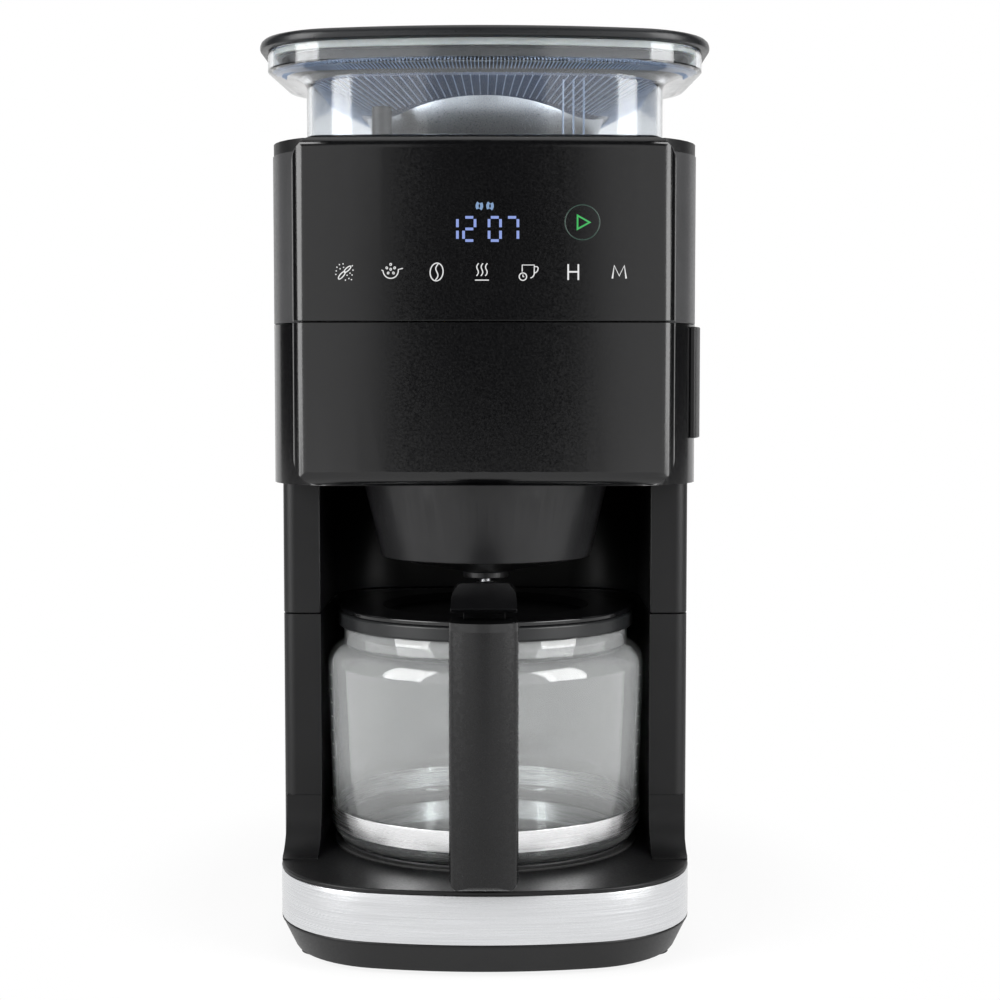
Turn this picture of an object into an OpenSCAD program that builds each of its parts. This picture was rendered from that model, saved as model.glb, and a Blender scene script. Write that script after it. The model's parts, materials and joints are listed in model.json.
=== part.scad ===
// Grind and brew coffee maker with a swing-out filter door, a bean hopper and a glass carafe.
// Millimetres, +Z up, the front faces -Y, origin on the ground under the middle of the whole machine.

/* [Base] */
// Width of the base
base_w = 189; // [184:1:192]
// Height of the rubber feet
foot_h = 2; // [1.5:0.5:4]
// Radius of a rubber foot
foot_r = 9; // [7:0.5:11]
// Height of the tapered skirt under the steel band
skirt_h = 14; // [11:1:18]
// How far the skirt draws in towards the ground
skirt_in = 6; // [4:0.5:10]
// Height of the brushed steel band
band_h = 22; // [18:1:26]
// Thickness of the steel band
band_t = 1.2; // [0.8:0.1:1.8]
// Thickness of the base's deck
deck_t = 2; // [2:0.5:4]
// Radius of the front bow
bow_r = 240; // [220:5:300]
// Radius of the front corners of the base
corner_r = 55; // [48:1:60]

/* [Body] */
// Width of the tower and the head
body_w = 192; // [190:1:198]
// Depth from the front of the base to the back of the tower
body_d = 286; // [282:1:300]
// Radius of the vertical back corners
back_r = 20; // [16:1:24]
// Wall of the moulded shells
wall = 3; // [2.5:0.1:3.4]
// Height of the carafe bay, from the deck to the head
bay_h = 176; // [174:1:181]
// Width of the carafe bay
bay_w = 156; // [155.5:0.5:160]
// Front of the columns, behind the front of the base
column_inset = 80; // [76:1:84]
// Radius of the columns' outer front edges
column_r = 6; // [4:0.5:8]
// Radius of the sweep from the columns into the deck
sweep_r = 25; // [18:1:30]
// Height of the tower's parting line above the deck
split_h = 112; // [100:1:130]

/* [Head] */
// Height of the head
head_h = 147; // [145:1:155]
// Height of the filter door
door_h = 72; // [71:0.5:74]
// Thickness of the top deck over the head
top_t = 5.5; // [4:0.5:7]
// Front of the door and the touch panel, behind the front of the base
plate_inset = 10; // [8:1:12]
// Depth of the door and panel plates
plate_t = 14; // [13:0.5:16]
// Width of the door and panel plates
plate_w = 168; // [162:1:172]
// Radius of the plates' outer corners, seen from the front
plate_r = 13; // [9:1:16]
// Radius of the plates' front edges
plate_edge = 7; // [5:0.5:8]
// Radius of the gentle bow across the plates' fronts
plate_bow = 700; // [600:10:1200]
// Seam between the door and what surrounds it
seam = 0.8; // [0.6:0.1:1.2]
// Back edge of the door's flanks, behind the front of the base
flank_inset = 62; // [60:1:64]
// Radius of the head's front corners
head_corner_r = 42; // [38:1:46]
// Radius of the door's hinge barrel
barrel_r = 4; // [3.6:0.1:4.4]
// Radius of the door's hinge pins
pin_r = 1.6; // [1.4:0.1:1.9]

/* [Brewing] */
// How far the warming plate lies inside the carafe's foot
plate_in = 4.5; // [2:0.5:8]
// Radius of the water tubes
tube_r = 5; // [4:0.5:6]
// Radius of the heating ring
heater_r = 47; // [42:1:54]
// Radius of the filter holder at its foot
funnel_foot_r = 50.5; // [48:0.5:52]
// Radius of the filter holder at its rim
funnel_rim_r = 61; // [60:0.5:62]
// Height of the filter holder's shell
funnel_h = 88; // [84:1:89]
// Height of the filter holder's foot above the deck
funnel_lift = 138; // [137:0.5:141]
// Wall of the filter holder
funnel_t = 2.4; // [2:0.1:2.8]
// Radius of the drip valve's stem
valve_r = 3; // [2.6:0.1:3.4]
// Travel of the drip valve
valve_travel = 4; // [3:0.5:4.5]
// Radius of the shower head
shower_r = 28; // [24:1:30]

/* [Carafe] */
// Carafe axis, behind the front of the base
carafe_inset = 106; // [104:0.5:108]
// Room between the glass and each side of its bay
bay_side = 1; // [1:0.1:3]
// How far the glass draws in at its foot
foot_in = 2.5; // [1.5:0.5:5]
// Height of the belly above the plate
belly_h = 84; // [80:1:86]
// Radius of the glass shoulder
shoulder_r = 11; // [10:0.5:12.5]
// Height of the glass, from the plate to the rim
glass_h = 107; // [106:0.5:108]
// Thickness of the glass
glass_t = 2.4; // [2:0.1:3]
// Height of the collar
collar_h = 7; // [6:0.5:8]
// Thickness of the collar round the neck
collar_t = 2.65; // [2:0.05:4]
// Height of the steel band on the glass
hoop_h = 10; // [7:1:12]
// Gap for the fingers between the glass and the handle
handle_gap = 24.5; // [23:0.5:28]
// Thickness of the handle from front to back
handle_t = 20; // [17:0.5:22]
// Width of the handle
handle_w = 30; // [27:1:33]
// Radius of the handle's bowed front
handle_bow = 24; // [20:1:40]

/* [Hopper] */
// Width of the hopper's lower wall
hopper_w = 164; // [160:1:168]
// Width of the hopper's flange
flange_w = 200; // [196:1:203]
// Height of the hopper's lower wall
hopper_h = 29; // [26:0.5:32]
// Height of the flare between the wall and the flange
flare_h = 5.4; // [5:0.2:8]
// Height of the flange
flange_h = 9.8; // [9:0.2:12]
// Width of the hopper's lid
lid_w = 207; // [205:1:210]
// Thickness of the hopper's lid
lid_t = 5; // [4:0.5:7]
// Depth of the hopper's lid from front to back
lid_d = 180; // [174:1:184]
// Wall of the hopper
hopper_t = 2.5; // [2:0.1:3]
// Radius of the hopper's outlet
outlet_r = 18; // [15:0.5:20]

/* [Grinder] */
// Tooth module of the grinder's gears
gear_m = 1.25; // [1.2:0.05:1.3]
// Teeth of the burr gear
burr_teeth = 48; // [44:2:50]
// Teeth of the idler gear
idler_teeth = 24; // [22:2:26]
// Teeth of the motor pinion
pinion_teeth = 12; // [10:2:14]
// Thickness of the gears
gear_t = 7; // [6:0.5:8]
// Radius of the grinder shafts
shaft_r = 4; // [3.5:0.1:4.5]
// Radius of the grinder's chamber
chamber_r = 33; // [32:0.5:34]
// Radius of the motor
motor_r = 24; // [21:0.5:25]
// Flutes on the lower burr
flutes = 10; // [8:1:14]

/* [Hidden] */
$fa = 4;
$fs = 0.8;

// Straight steps in the bow and in each corner of an outline
bow_steps = 14;
corner_steps = 9;
// Steps in a full circle of the plates' wide bow
bow_fn = 256;

// Clearances
run_gap = 0.05;   // shaft in its bore
rest_gap = 0.3;   // between bodies that rest on or pass each other
slip = 0.15;      // fixed pieces that slot together
over = 1;         // how far a cut runs past the face it opens

// Heights
band_z = foot_h + skirt_h;
deck_z = band_z + band_h;
deck_top = deck_z + deck_t;
split_z = deck_top + split_h;
head_z = deck_top + bay_h;
door_z = head_z + seam / 2;
door_top = head_z + door_h;
floor_top = door_top + wall;
head_top = head_z + head_h;
top_z = head_top + top_t;
flare_z = top_z + hopper_h;
flange_z = flare_z + flare_h;
lid_z = flange_z + flange_h + rest_gap;

// Radius of the carafe at its belly, which fits in the bay, and at its foot
carafe_r = bay_w / 2 - bay_side;
carafe_foot_r = carafe_r - foot_in;

// Places along Y
reach = carafe_r + handle_gap + handle_t - carafe_inset;
front_y = (reach - body_d) / 2;
back_y = front_y + body_d;
carafe_y = front_y + carafe_inset;
column_y = front_y + column_inset;
plate_y = front_y + plate_inset;
head_y = plate_y + plate_t;
head_lead = 3;       // how far the head's rounded flanks start behind the plates' front
flank_y = front_y + flank_inset;
bay_gap = 7;
bay_y = carafe_y + carafe_r + bay_gap;
tube_y = bay_y + wall + tube_r + 2;
bay_r = 35;

// Warming plate and heater
plate_heat_r = carafe_foot_r - plate_in;
heat_t = 5.5;
heat_top = deck_top + 1.6;
heater_z = heat_top - heat_t - tube_r - slip;
heater_mouth = 40;   // angle left open at the back of the heating ring
tube_x = heater_r * sin(heater_mouth / 2);
heater_end_y = carafe_y + heater_r * cos(heater_mouth / 2);
leg_y = carafe_y + heater_r + tube_r + 6;
tube_t = 1.2;
bend_r = 2 * tube_r;
riser_z = door_top - tube_r - 3;
turret = 2 * tube_r + 2;   // side of the shower head's inlet block
shower_y = carafe_y + 22;
shower_t = 4;
shower_drop = 14;    // from the head's floor to the shower head

// Carafe
carafe_z = heat_top + rest_gap;
belly_z = carafe_z + belly_h;
shoulder_turn = 75;
neck_r = carafe_r - shoulder_r * (1 - cos(shoulder_turn));
collar_r = neck_r + collar_t;
rim_z = carafe_z + glass_h;
collar_top = rim_z + 2.5;
foot_round = 7;
handle_y = carafe_y - carafe_r - handle_gap;
handle_z = deck_top + 3.5;
handle_top = collar_top + 8;
arm_top = collar_top - 0.5;    // top of the bracket between the handle and the collar
arm_h = 16;
arm_w = 20;
ear_t = 5;           // thickness of the hinge ears on the bracket
ear_x = 12;          // middle of each ear
lid_gap_z = collar_top + rest_gap;
brew_lid_t = 2.2;
lid_pin_r = 1.5;
lid_pin_y = carafe_y - collar_r - 5;
lid_pin_z = collar_top + 1.5;
lever_w = 18.6;
lever_hub_r = 3.2;
tab_w = 28.6;        // width of the lid lever's thumb tab
tab_air = 4;         // room under the tab to press it down
tab_h = 18.6;        // height of the tab over the lid

// Door
hinge_x = -(body_w / 2 - barrel_r);
hinge_y = flank_y - barrel_r - 0.5;
lug_h = 4;
grip_h = 50;
grip_t = 2.4;

// Filter holder
funnel_z = deck_top + funnel_lift;
funnel_top = funnel_z + funnel_h;
funnel_knee = 33;    // height of the knee where the wall turns steeper
funnel_knee_r = funnel_foot_r + 8;
outlet_drop = 8;     // depth of the shallow cone under the foot
spout_r = 11;
spout_h = 3;
spout_z = funnel_z - outlet_drop - spout_h;
valve_foot_h = 2;
valve_seat = spout_z + funnel_t + spout_h;
pocket_h = 3.4;      // depth of the spring's pocket in the spout
pocket_r = valve_r + 2.2;
lip_h = 3;
carrier_h = 8;
carrier_z = funnel_top - lip_h - carrier_h;
carrier_r = funnel_rim_r + 3;

// Grinder
burr_y = carafe_y;
idler_y = burr_y + gear_m * (burr_teeth + idler_teeth) / 2;
motor_y = idler_y + gear_m * (idler_teeth + pinion_teeth) / 2;
gear_z = floor_top + 3;
gear_top = gear_z + gear_t;
bed_z = gear_top + 2;
bed_t = 2.5;
bed_top = bed_z + bed_t;
chamber_h = 34;
chamber_top = bed_top + chamber_h;
chamber_t = 2.5;
burr_r = 22;
burr_h = 20;
burr_z = bed_top + 6;
chute_w = 18;
chute_d = 16;
chute_t = 1.6;
chute_h = 16;        // inside height of the duct at the chamber
port_h = 14;         // height of the chamber's side port
chute_y = burr_y - chamber_r - chute_d / 2 - 1;
lever_r = 66;        // distance of the grind lever's post from the burr axis
lever_turn = 225;    // direction of the post from the burr axis
lever_swing = 12;
post_r = 4.5;
post_top = top_z + 18;
ring_z = chamber_top + rest_gap;
ring_h = 5;
bed_x = 40;          // half the width of the gear plate
bed_post_r = 5;
motor_boss_h = 4;
motor_air = 7.5;     // room over the motor
motor_h = head_top - motor_air - motor_boss_h - bed_top;
motor_shaft_h = motor_h - 16;

// Hopper
hopper_front = plate_y + 24;
hopper_back = hopper_front + 138;
lid_y = plate_y + 15;
lid_back = lid_y + lid_d;
lid_corner_r = 42;
funnel_mouth_r = 60;
lid_lip = 4;
seal_in = hopper_t + 1.8;   // how far the lid's lip lies inside the flange, where the seal goes round it

// Rear cover and water tank
room_back = motor_y + motor_r + 4;
tank_y = max(tube_y + tube_r + 4, room_back + wall + 1.5);
cover_t = 2.5;
cover_w = body_w - 2 * back_r;
cover_z = deck_top + rest_gap;
ledge = 10;
screw_r = 1.6;
screw_head_r = 3;
screw_head_h = 1.2;
gland_r = 8;
gland_z = deck_top + 22;
tank_t = 2.2;
tank_w = body_w - 2 * wall - 14;
tank_back = back_y - 2 * cover_t - 2.5;
tank_z = deck_top + 16;
tank_r = 10;
feed_y = tank_y + 20;
rail_w = 8;
mouth_x = tank_w / 2 - 8;
mouth_y = tank_y + 6;
mouth_back = tank_back - 8;
tank_lid_t = 4;
tank_lid_z = top_z + rest_gap;
tank_hinge_y = tank_back - 3;
tank_hinge_z = tank_lid_z + tank_lid_t / 2;
tank_pin_r = 1.2;
tank_lid_w = tank_w - 8;

// Front bow joined to the sides by corner arcs that are tangent to both.
function bow_depth(w, br, cr) = br - sqrt(pow(br - cr, 2) - pow(w / 2 - cr, 2));

// Points along an arc about c, from angle a to angle b, leaving out the first few if asked.
function arc(c, r, a, b, n = 8, first = 0) =
  [for (i = [first : n]) let (t = a + (b - a) * i / n) [c[0] + r * cos(t), c[1] + r * sin(t)]];

// Closed outline: bowed front, tangent front corners, straight sides and round back corners.
function bowed_points(w, yf, yb, br, cr, rr) =
  let (hw = w / 2, cx = hw - cr, cy = yf + bow_depth(w, br, cr), half = asin(cx / (br - cr)))
  concat(
    arc([0, yf + br], br, 270 - half, 270 + half, bow_steps),
    arc([cx, cy], cr, 270 + half, 360, corner_steps, 1),
    arc([hw - rr, yb - rr], rr, 0, 90, corner_steps),
    arc([rr - hw, yb - rr], rr, 90, 180, corner_steps),
    arc([-cx, cy], cr, 180, 270 - half, corner_steps)
  );

module bowed(w, yf, yb, br, cr, rr) {
  points = bowed_points(w, yf, yb, br, cr, rr);
  polygon([for (i = [0 : len(points) - 2]) points[i]]);
}

module base_outline(inset = 0) {
  bowed(base_w - 2 * inset, front_y + inset, back_y - inset,
        bow_r - inset, corner_r - inset, back_r - inset);
}

module head_outline(inset = 0) {
  bowed(body_w - 2 * inset, plate_y + head_lead + inset, back_y - inset,
        900, head_corner_r - inset, back_r - inset);
}

module lid_outline(w, inset = 0) {
  side = (lid_w - w) / 2 + inset;
  bowed(lid_w - 2 * side, lid_y + side, lid_back - side, 320, lid_corner_r - side, lid_corner_r - side);
}

module hopper_outline(inset = 0) {
  bowed(hopper_w - 2 * inset, hopper_front + inset, hopper_back - inset, 320, 34 - inset, 34 - inset);
}

// Rectangle with all four corners round.
module round_rect(x0, y0, x1, y1, r) {
  translate([x0 + r, y0]) square([x1 - x0 - 2 * r, y1 - y0]);
  translate([x0, y0 + r]) square([x1 - x0, y1 - y0 - 2 * r]);
  for (x = [x0 + r, x1 - r]) for (y = [y0 + r, y1 - r]) translate([x, y]) circle(r);
}

module slab(z0, z1) {
  translate([0, 0, z0]) linear_extrude(z1 - z0) children();
}

module at_carafe(z = 0) {
  translate([0, carafe_y, z]) children();
}

// A profile drawn in X and Z, extruded along Y from y0 to y1.
module along_y(y0, y1) {
  translate([0, y1, 0]) rotate([90, 0, 0]) linear_extrude(y1 - y0) children();
}

// A profile drawn in Y and Z, extruded along X from x0 to x1.
module along_x(x0, x1) {
  translate([x0, 0, 0]) rotate([90, 0, 90]) linear_extrude(x1 - x0) children();
}

module foot_places() {
  inset = skirt_in + foot_r + 4;
  round_in = 28;   // how much further in the front feet stand, for the round front corners
  for (side = [-1, 1]) {
    translate([side * (base_w / 2 - inset), front_y + inset + round_in, 0]) children();
    translate([side * (base_w / 2 - inset), back_y - inset, 0]) children();
  }
}

// Base

module rubber_feet() {
  color("#161616") foot_places() cylinder(r = foot_r, h = foot_h);
}

module base_pan() {
  edge = 1;
  color("#1d1d1e") difference() {
    hull() {
      slab(foot_h, foot_h + edge) base_outline(skirt_in);
      slab(band_z - edge, band_z) base_outline();
    }
    slab(foot_h + wall, band_z + over) base_outline(skirt_in + wall);
    foot_places() translate([0, 0, foot_h - over]) cylinder(r = 1.8, h = wall + 2 * over);
  }
}

module bottom_screws() {
  color("#8b8b8b") foot_places() {
    translate([0, 0, foot_h + wall]) cylinder(r = 3.2, h = 2);
    translate([0, 0, foot_h]) cylinder(r = 1.6, h = wall + 1);
  }
}

module base_trim_band() {
  color("#c4c4c6") difference() {
    slab(band_z, deck_z) base_outline();
    slab(band_z - over, deck_z + over) base_outline(band_t);
  }
}

module base_deck() {
  skirt = band_t + slip;
  color("#1b1b1c") difference() {
    union() {
      slab(deck_z, deck_top) base_outline();
      difference() {
        slab(band_z, deck_z + deck_t / 2) base_outline(skirt);
        slab(band_z - over, deck_z) base_outline(skirt + wall);
      }
    }
    at_carafe(deck_z - over) cylinder(r = plate_heat_r + 4, h = deck_t + 2 * over);
    for (place = [[tube_x, tube_y], [-tube_x, feed_y]])
      translate([place[0], place[1], deck_z - over]) cylinder(r = tube_r + 1.3, h = deck_t + 2 * over);
  }
}

module warming_plate() {
  color("#2a2a2b") at_carafe(heat_top - heat_t) difference() {
    cylinder(r = plate_heat_r, h = heat_t);
    translate([0, 0, heat_t - 0.6]) difference() {
      cylinder(r = plate_heat_r - 4, h = over);
      cylinder(r = plate_heat_r - 7, h = over);
    }
  }
}

module plate_gasket() {
  color("#101010") at_carafe() difference() {
    union() {
      translate([0, 0, deck_z]) cylinder(r = plate_heat_r + 4 - slip, h = deck_t + 0.8);
      translate([0, 0, deck_z - 1.5]) cylinder(r = plate_heat_r + 6, h = 1.5);
    }
    translate([0, 0, deck_z - 2 * over]) cylinder(r = plate_heat_r + slip, h = deck_t + 4 * over);
  }
}

module heater_ring() {
  color("#b9b9ba") {
    at_carafe(heater_z) rotate(90 + heater_mouth / 2)
      rotate_extrude(angle = 360 - heater_mouth) translate([heater_r, 0]) circle(tube_r);
    for (side = [-1, 1]) translate([side * tube_x, heater_end_y - 1, heater_z]) rotate([-90, 0, 0])
      cylinder(r = tube_r - 0.5, h = leg_y - heater_end_y + 1);
  }
}

// Straight tube of length h with its bore.
module tube(h) {
  difference() {
    cylinder(r = tube_r, h = h);
    translate([0, 0, -over]) cylinder(r = tube_r - tube_t, h = h + 2 * over);
  }
}

// Quarter bend from along +Z to along -Y, that turns about X.
module bend() {
  translate([0, -bend_r, 0]) rotate([90, 0, 90]) rotate_extrude(angle = 90)
    translate([bend_r, 0]) difference() {
      circle(tube_r);
      circle(tube_r - tube_t);
    }
}

module riser_tube() {
  rise = riser_z - bend_r;
  end_y = shower_y + turret / 2;
  color("#d8d3c8") {
    translate([tube_x, tube_y, heater_z + bend_r]) tube(rise - heater_z - bend_r);
    translate([tube_x, tube_y, rise]) bend();
    translate([tube_x, end_y, riser_z]) rotate([-90, 0, 0]) tube(tube_y - bend_r - end_y);
    translate([tube_x, tube_y, heater_z + bend_r]) mirror([0, 0, 1]) bend();
    translate([tube_x, leg_y, heater_z]) rotate([-90, 0, 0]) tube(tube_y - bend_r - leg_y);
  }
}

module feed_tube() {
  color("#d8d3c8") {
    translate([-tube_x, feed_y, heater_z + bend_r]) tube(tank_z - heater_z - bend_r);
    translate([-tube_x, feed_y, heater_z + bend_r]) mirror([0, 0, 1]) bend();
    translate([-tube_x, leg_y, heater_z]) rotate([-90, 0, 0]) tube(feed_y - bend_r - leg_y);
  }
}

module power_board() {
  w = 50;
  d = 44;
  lift = 3;
  edge = 4;           // from the board's edges to its bosses
  relay = [14, 18, 9];
  can_r = 6;
  can_h = 8;
  z = foot_h + wall;
  top = z + lift + board_t;
  color("#1f5a36") translate([tube_x - 8, tube_y + 20, 0]) {
    translate([0, 0, z + lift]) cube([w, d, board_t]);
    for (x = [edge, w - edge]) for (y = [edge, d - edge]) translate([x, y, z]) cylinder(r = boss_r, h = lift);
    translate([2 * edge, 3 * edge, top]) cube(relay);
    translate([w - 4 * edge, d / 2, top]) cylinder(r = can_r, h = can_h);
  }
}

// Tower

module bay_outline() {
  translate([-bay_w / 2, front_y - over]) square([bay_w, bay_y - bay_r - front_y + over]);
  round_rect(-bay_w / 2, bay_y - 3 * bay_r, bay_w / 2, bay_y, bay_r);
}

module tower_outline() {
  hw = body_w / 2;
  difference() {
    union() {
      round_rect(-hw, column_y, hw, back_y - back_r, column_r);
      round_rect(-hw, column_y + 2 * back_r, hw, back_y, back_r);
    }
    bay_outline();
    difference() {
      rear_room(column_y + 2 * wall);
      translate([-bay_w / 2 - wall, front_y]) square([bay_w + 2 * wall, bay_y - bay_r - front_y]);
      round_rect(-bay_w / 2 - wall, bay_y - 3 * bay_r, bay_w / 2 + wall, bay_y + wall, bay_r + wall);
    }
  }
}

// Inside of the shells from y0 to the back, with the ledges and the slot for the rear cover.
module rear_room(y0) {
  intersection() {
    head_outline(wall);
    translate([-body_w, y0]) square([2 * body_w, back_y - cover_t - wall - y0]);
  }
  open_w = cover_w - 2 * ledge;
  translate([-open_w / 2, back_y - back_r]) square([open_w, back_r + over]);
  translate([-cover_w / 2 - slip, back_y - cover_t]) square([cover_w + 2 * slip, cover_t + over]);
}

module tower_lower() {
  foot_x = bay_w / 2;
  color("#1c1c1d") {
    difference() {
      slab(deck_top, split_z - 0.25) tower_outline();
      rear_screw_places() cylinder(r = screw_r, h = cover_t + 2 * wall);
    }
    intersection() {
      slab(deck_top, deck_top + sweep_r) base_outline();
      for (side = [-1, 1]) translate([side == 1 ? foot_x : -body_w / 2, 0, 0]) difference() {
        translate([0, column_y - sweep_r, deck_top]) cube([body_w / 2 - foot_x, sweep_r + column_r, sweep_r]);
        translate([-over, column_y - sweep_r, deck_top + sweep_r]) rotate([0, 90, 0])
          cylinder(r = sweep_r - 0.6, h = body_w / 2);
      }
    }
  }
}

module tower_upper() {
  color("#1c1c1d") slab(split_z, head_z) tower_outline();
}

module rear_cover() {
  vents = 7;
  vent_pitch = 9;
  vent_w = 52;
  vent_h = 4;
  vent_z = deck_top + 60;
  edge_r = 6;
  lip_x = cover_w / 2 - ledge - slip;
  color("#1a1a1b") difference() {
    union() {
      along_y(back_y - cover_t, back_y) round_rect(-cover_w / 2, cover_z, cover_w / 2, head_top, edge_r);
      along_y(back_y - 2 * cover_t, back_y - cover_t / 2)
        round_rect(-lip_x, cover_z + edge_r, lip_x, head_top - edge_r, edge_r);
    }
    for (i = [0 : vents - 1]) along_y(back_y - 3 * cover_t, back_y + over)
      translate([0, vent_z + i * vent_pitch]) round_rect(-vent_w / 2, 0, vent_w / 2, vent_h, vent_h / 2.1);
    translate([0, back_y + over, gland_z]) rotate([90, 0, 0]) cylinder(r = gland_r + slip, h = 4 * cover_t);
    rear_screw_places() {
      translate([0, 0, -over]) cylinder(r = screw_r + slip, h = 2 * cover_t);
      translate([0, 0, -over]) cylinder(r = screw_head_r + slip, h = screw_head_h + over);
    }
  }
}

module rear_screw_places() {
  for (x = [-1, 1]) for (z = [deck_top + 16, head_top - 18])
    translate([x * (cover_w - ledge) / 2, back_y, z]) rotate([90, 0, 0]) children();
}

module rear_cover_screws() {
  color("#8b8b8b") rear_screw_places() {
    cylinder(r = screw_r, h = cover_t + wall);
    cylinder(r = screw_head_r, h = screw_head_h);
  }
}

module cord_gland() {
  color("#121212") translate([0, back_y, gland_z]) rotate([90, 0, 0]) difference() {
    union() {
      cylinder(r = gland_r, h = 3 * cover_t);
      translate([0, 0, 2 * cover_t]) cylinder(r = gland_r + 3, h = cover_t);
    }
    translate([0, 0, -over]) cylinder(r = 3.5, h = 4 * cover_t);
  }
}

module tank_outline(inset = 0) {
  round_rect(inset - tank_w / 2, tank_y + inset, tank_w / 2 - inset, tank_back - inset, tank_r - inset);
}

module water_tank() {
  color("#9fb4c4") difference() {
    union() {
      slab(tank_z, head_top) tank_outline();
      for (side = [-1, 1]) translate([side * 2 * tank_w / 6 - rail_w / 2, tank_y + tank_r, deck_top])
        cube([rail_w, tank_back - tank_y - 2 * tank_r, tank_z - deck_top + over]);
    }
    slab(tank_z + tank_t, head_top + over) tank_outline(tank_t);
    translate([-tube_x, feed_y, tank_z - over]) cylinder(r = tube_r - tube_t, h = tank_t + 2 * over);
  }
}

// Head

// The space in front of the plates' back face.
module behind_plate(z0, z1) {
  translate([-body_w, front_y - over, z0 - over])
    cube([2 * body_w, head_y - front_y + over, z1 - z0 + 2 * over]);
}

module head_housing() {
  room_w = body_w - 2 * wall;
  color("#1c1c1d") {
    difference() {
      slab(head_z, head_top) head_outline();
      behind_plate(head_z, head_top);
      translate([-body_w, front_y - over, head_z - over])
        cube([2 * body_w, flank_y - front_y + over, door_h + over]);
      slab(head_z - over, door_top)
        round_rect(-room_w / 2, front_y, room_w / 2, bay_y, 8);
      slab(floor_top, head_top + over) intersection() {
        head_outline(wall);
        translate([-body_w, head_y + wall]) square([2 * body_w, room_back - head_y - wall]);
      }
      slab(head_z - over, door_top) rear_room(bay_y + wall);
      slab(head_z - over, head_top + over) rear_room(room_back + wall);
      rear_screw_places() cylinder(r = screw_r, h = cover_t + 2 * wall);
      translate([-chute_w / 2 - chute_t - slip, chute_y - chute_d / 2 - slip, door_top - over])
        cube([chute_w + 2 * chute_t + 2 * slip, chute_d + 2 * slip, wall + 2 * over]);
      translate([tube_x, bay_y - over, riser_z]) rotate([-90, 0, 0])
        cylinder(r = tube_r + 1, h = wall + 2 * over);
      along_y(head_y - over, head_y + wall + over) panel_window();
      translate([hinge_x, hinge_y, door_top - over]) cylinder(r = pin_r, h = wall + over);
    }
    difference() {
      union() {
        translate([hinge_x, hinge_y, head_z]) cylinder(r = barrel_r, h = lug_h);
        translate([hinge_x - slip, hinge_y, head_z]) cube([barrel_r + slip, flank_y - hinge_y + wall, lug_h]);
        translate([over - body_w / 2, flank_y, head_z]) cube([2 * barrel_r - over, wall, lug_h]);
      }
      translate([hinge_x, hinge_y, head_z - over]) cylinder(r = pin_r, h = lug_h + 2 * over);
    }
  }
}

module door_hinge_pins() {
  hold = 9;
  color("#a9a9a9") translate([hinge_x, hinge_y, 0]) {
    translate([0, 0, head_z]) cylinder(r = pin_r, h = lug_h + hold);
    translate([0, 0, door_top - hold]) cylinder(r = pin_r, h = hold + wall);
  }
}

// How far the bowed front of a plate falls back at x.
function plate_sag(x) = plate_bow - sqrt(pow(plate_bow, 2) - pow(x, 2));

// Front plate with a bowed front, round upper or lower corners and rolled front edges.
module front_plate(z0, z1, round_top) {
  hw = plate_w / 2;
  r = plate_r;
  e = plate_edge;
  hair = 0.005;    // keeps the rolled edge's sweep just ahead of the bowed outline
  depth = plate_t + over;
  turn = 2 * asin((hw + over) / (plate_bow - depth));
  intersection() {
    along_y(plate_y - over, head_y) {
      translate([-hw, round_top ? z0 : z0 + r]) square([plate_w, z1 - z0 - r]);
      translate([r - hw, z0]) square([plate_w - 2 * r, z1 - z0]);
      for (side = [-1, 1]) translate([side * (hw - r), round_top ? z1 - r : z0 + r]) circle(r);
    }
    slab(z0 - over, z1 + over) bowed(plate_w, plate_y, head_y + 2 * over, plate_bow, e, over);
    translate([0, plate_y + plate_bow, 0]) rotate(270 - turn / 2) rotate_extrude(angle = turn, $fn = bow_fn)
      translate([plate_bow - depth + hair, 0]) {
        translate([0, z0]) square([depth - e, z1 - z0]);
        translate([0, round_top ? z0 : z0 + e]) square([depth, z1 - z0 - e]);
        translate([depth - e, round_top ? z1 - e : z0 + e]) circle(e);
      }
  }
}

// What is cut out behind a plate's front wall, whose outline is drawn in X and Z.
module plate_recess(z0, z1) {
  intersection() {
    along_y(plate_y - over, head_y + over) children();
    translate([0, plate_y + plate_bow, z0]) cylinder(r = plate_bow - wall, h = z1 - z0, $fn = bow_fn);
  }
}

window_x = plate_w / 2 - 22;
window_z = door_top + 12;
window_top = head_top - 12;
board_air = 4;       // between the touch board and the window's edge
board_t = 1.6;
board_back = 4;      // from the plates' back face to the front of the touch board
boss_r = 2.5;
boss_in = 8;         // from the board's ends to its bosses
board_x = window_x - board_air;
board_z = window_z + board_air;
board_h = window_top - window_z - 2 * board_air;
display_x = -16;
display_w = 34;
display_h = 18;
panel_rise = 0.8;    // how far the touch panel stands over the top deck

module panel_window() {
  round_rect(-window_x, window_z, window_x, window_top, 4);
}

module touch_panel() {
  color("#0c0c0d") difference() {
    front_plate(door_top + seam / 2, top_z + panel_rise, true);
    plate_recess(door_top, top_z) panel_window();
  }
}

module touch_board() {
  y = head_y - board_back;
  x = board_x - boss_in;
  boss_h = plate_t - wall - board_back - plate_sag(x + boss_r);
  color("#1f5a36") {
    translate([-board_x, y, board_z]) cube([2 * board_x, board_t, board_h]);
    for (side = [-1, 1]) for (z = [board_z + boss_in, board_z + board_h - boss_in])
      translate([side * x, y, z]) rotate([90, 0, 0]) cylinder(r = boss_r, h = boss_h);
  }
}

module display_module() {
  y = plate_y + wall + plate_sag(display_x + display_w);
  color("#22272e") translate([display_x, y, board_z + (board_h - display_h) / 2])
    cube([display_w, head_y - board_back - y, display_h]);
}

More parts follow.
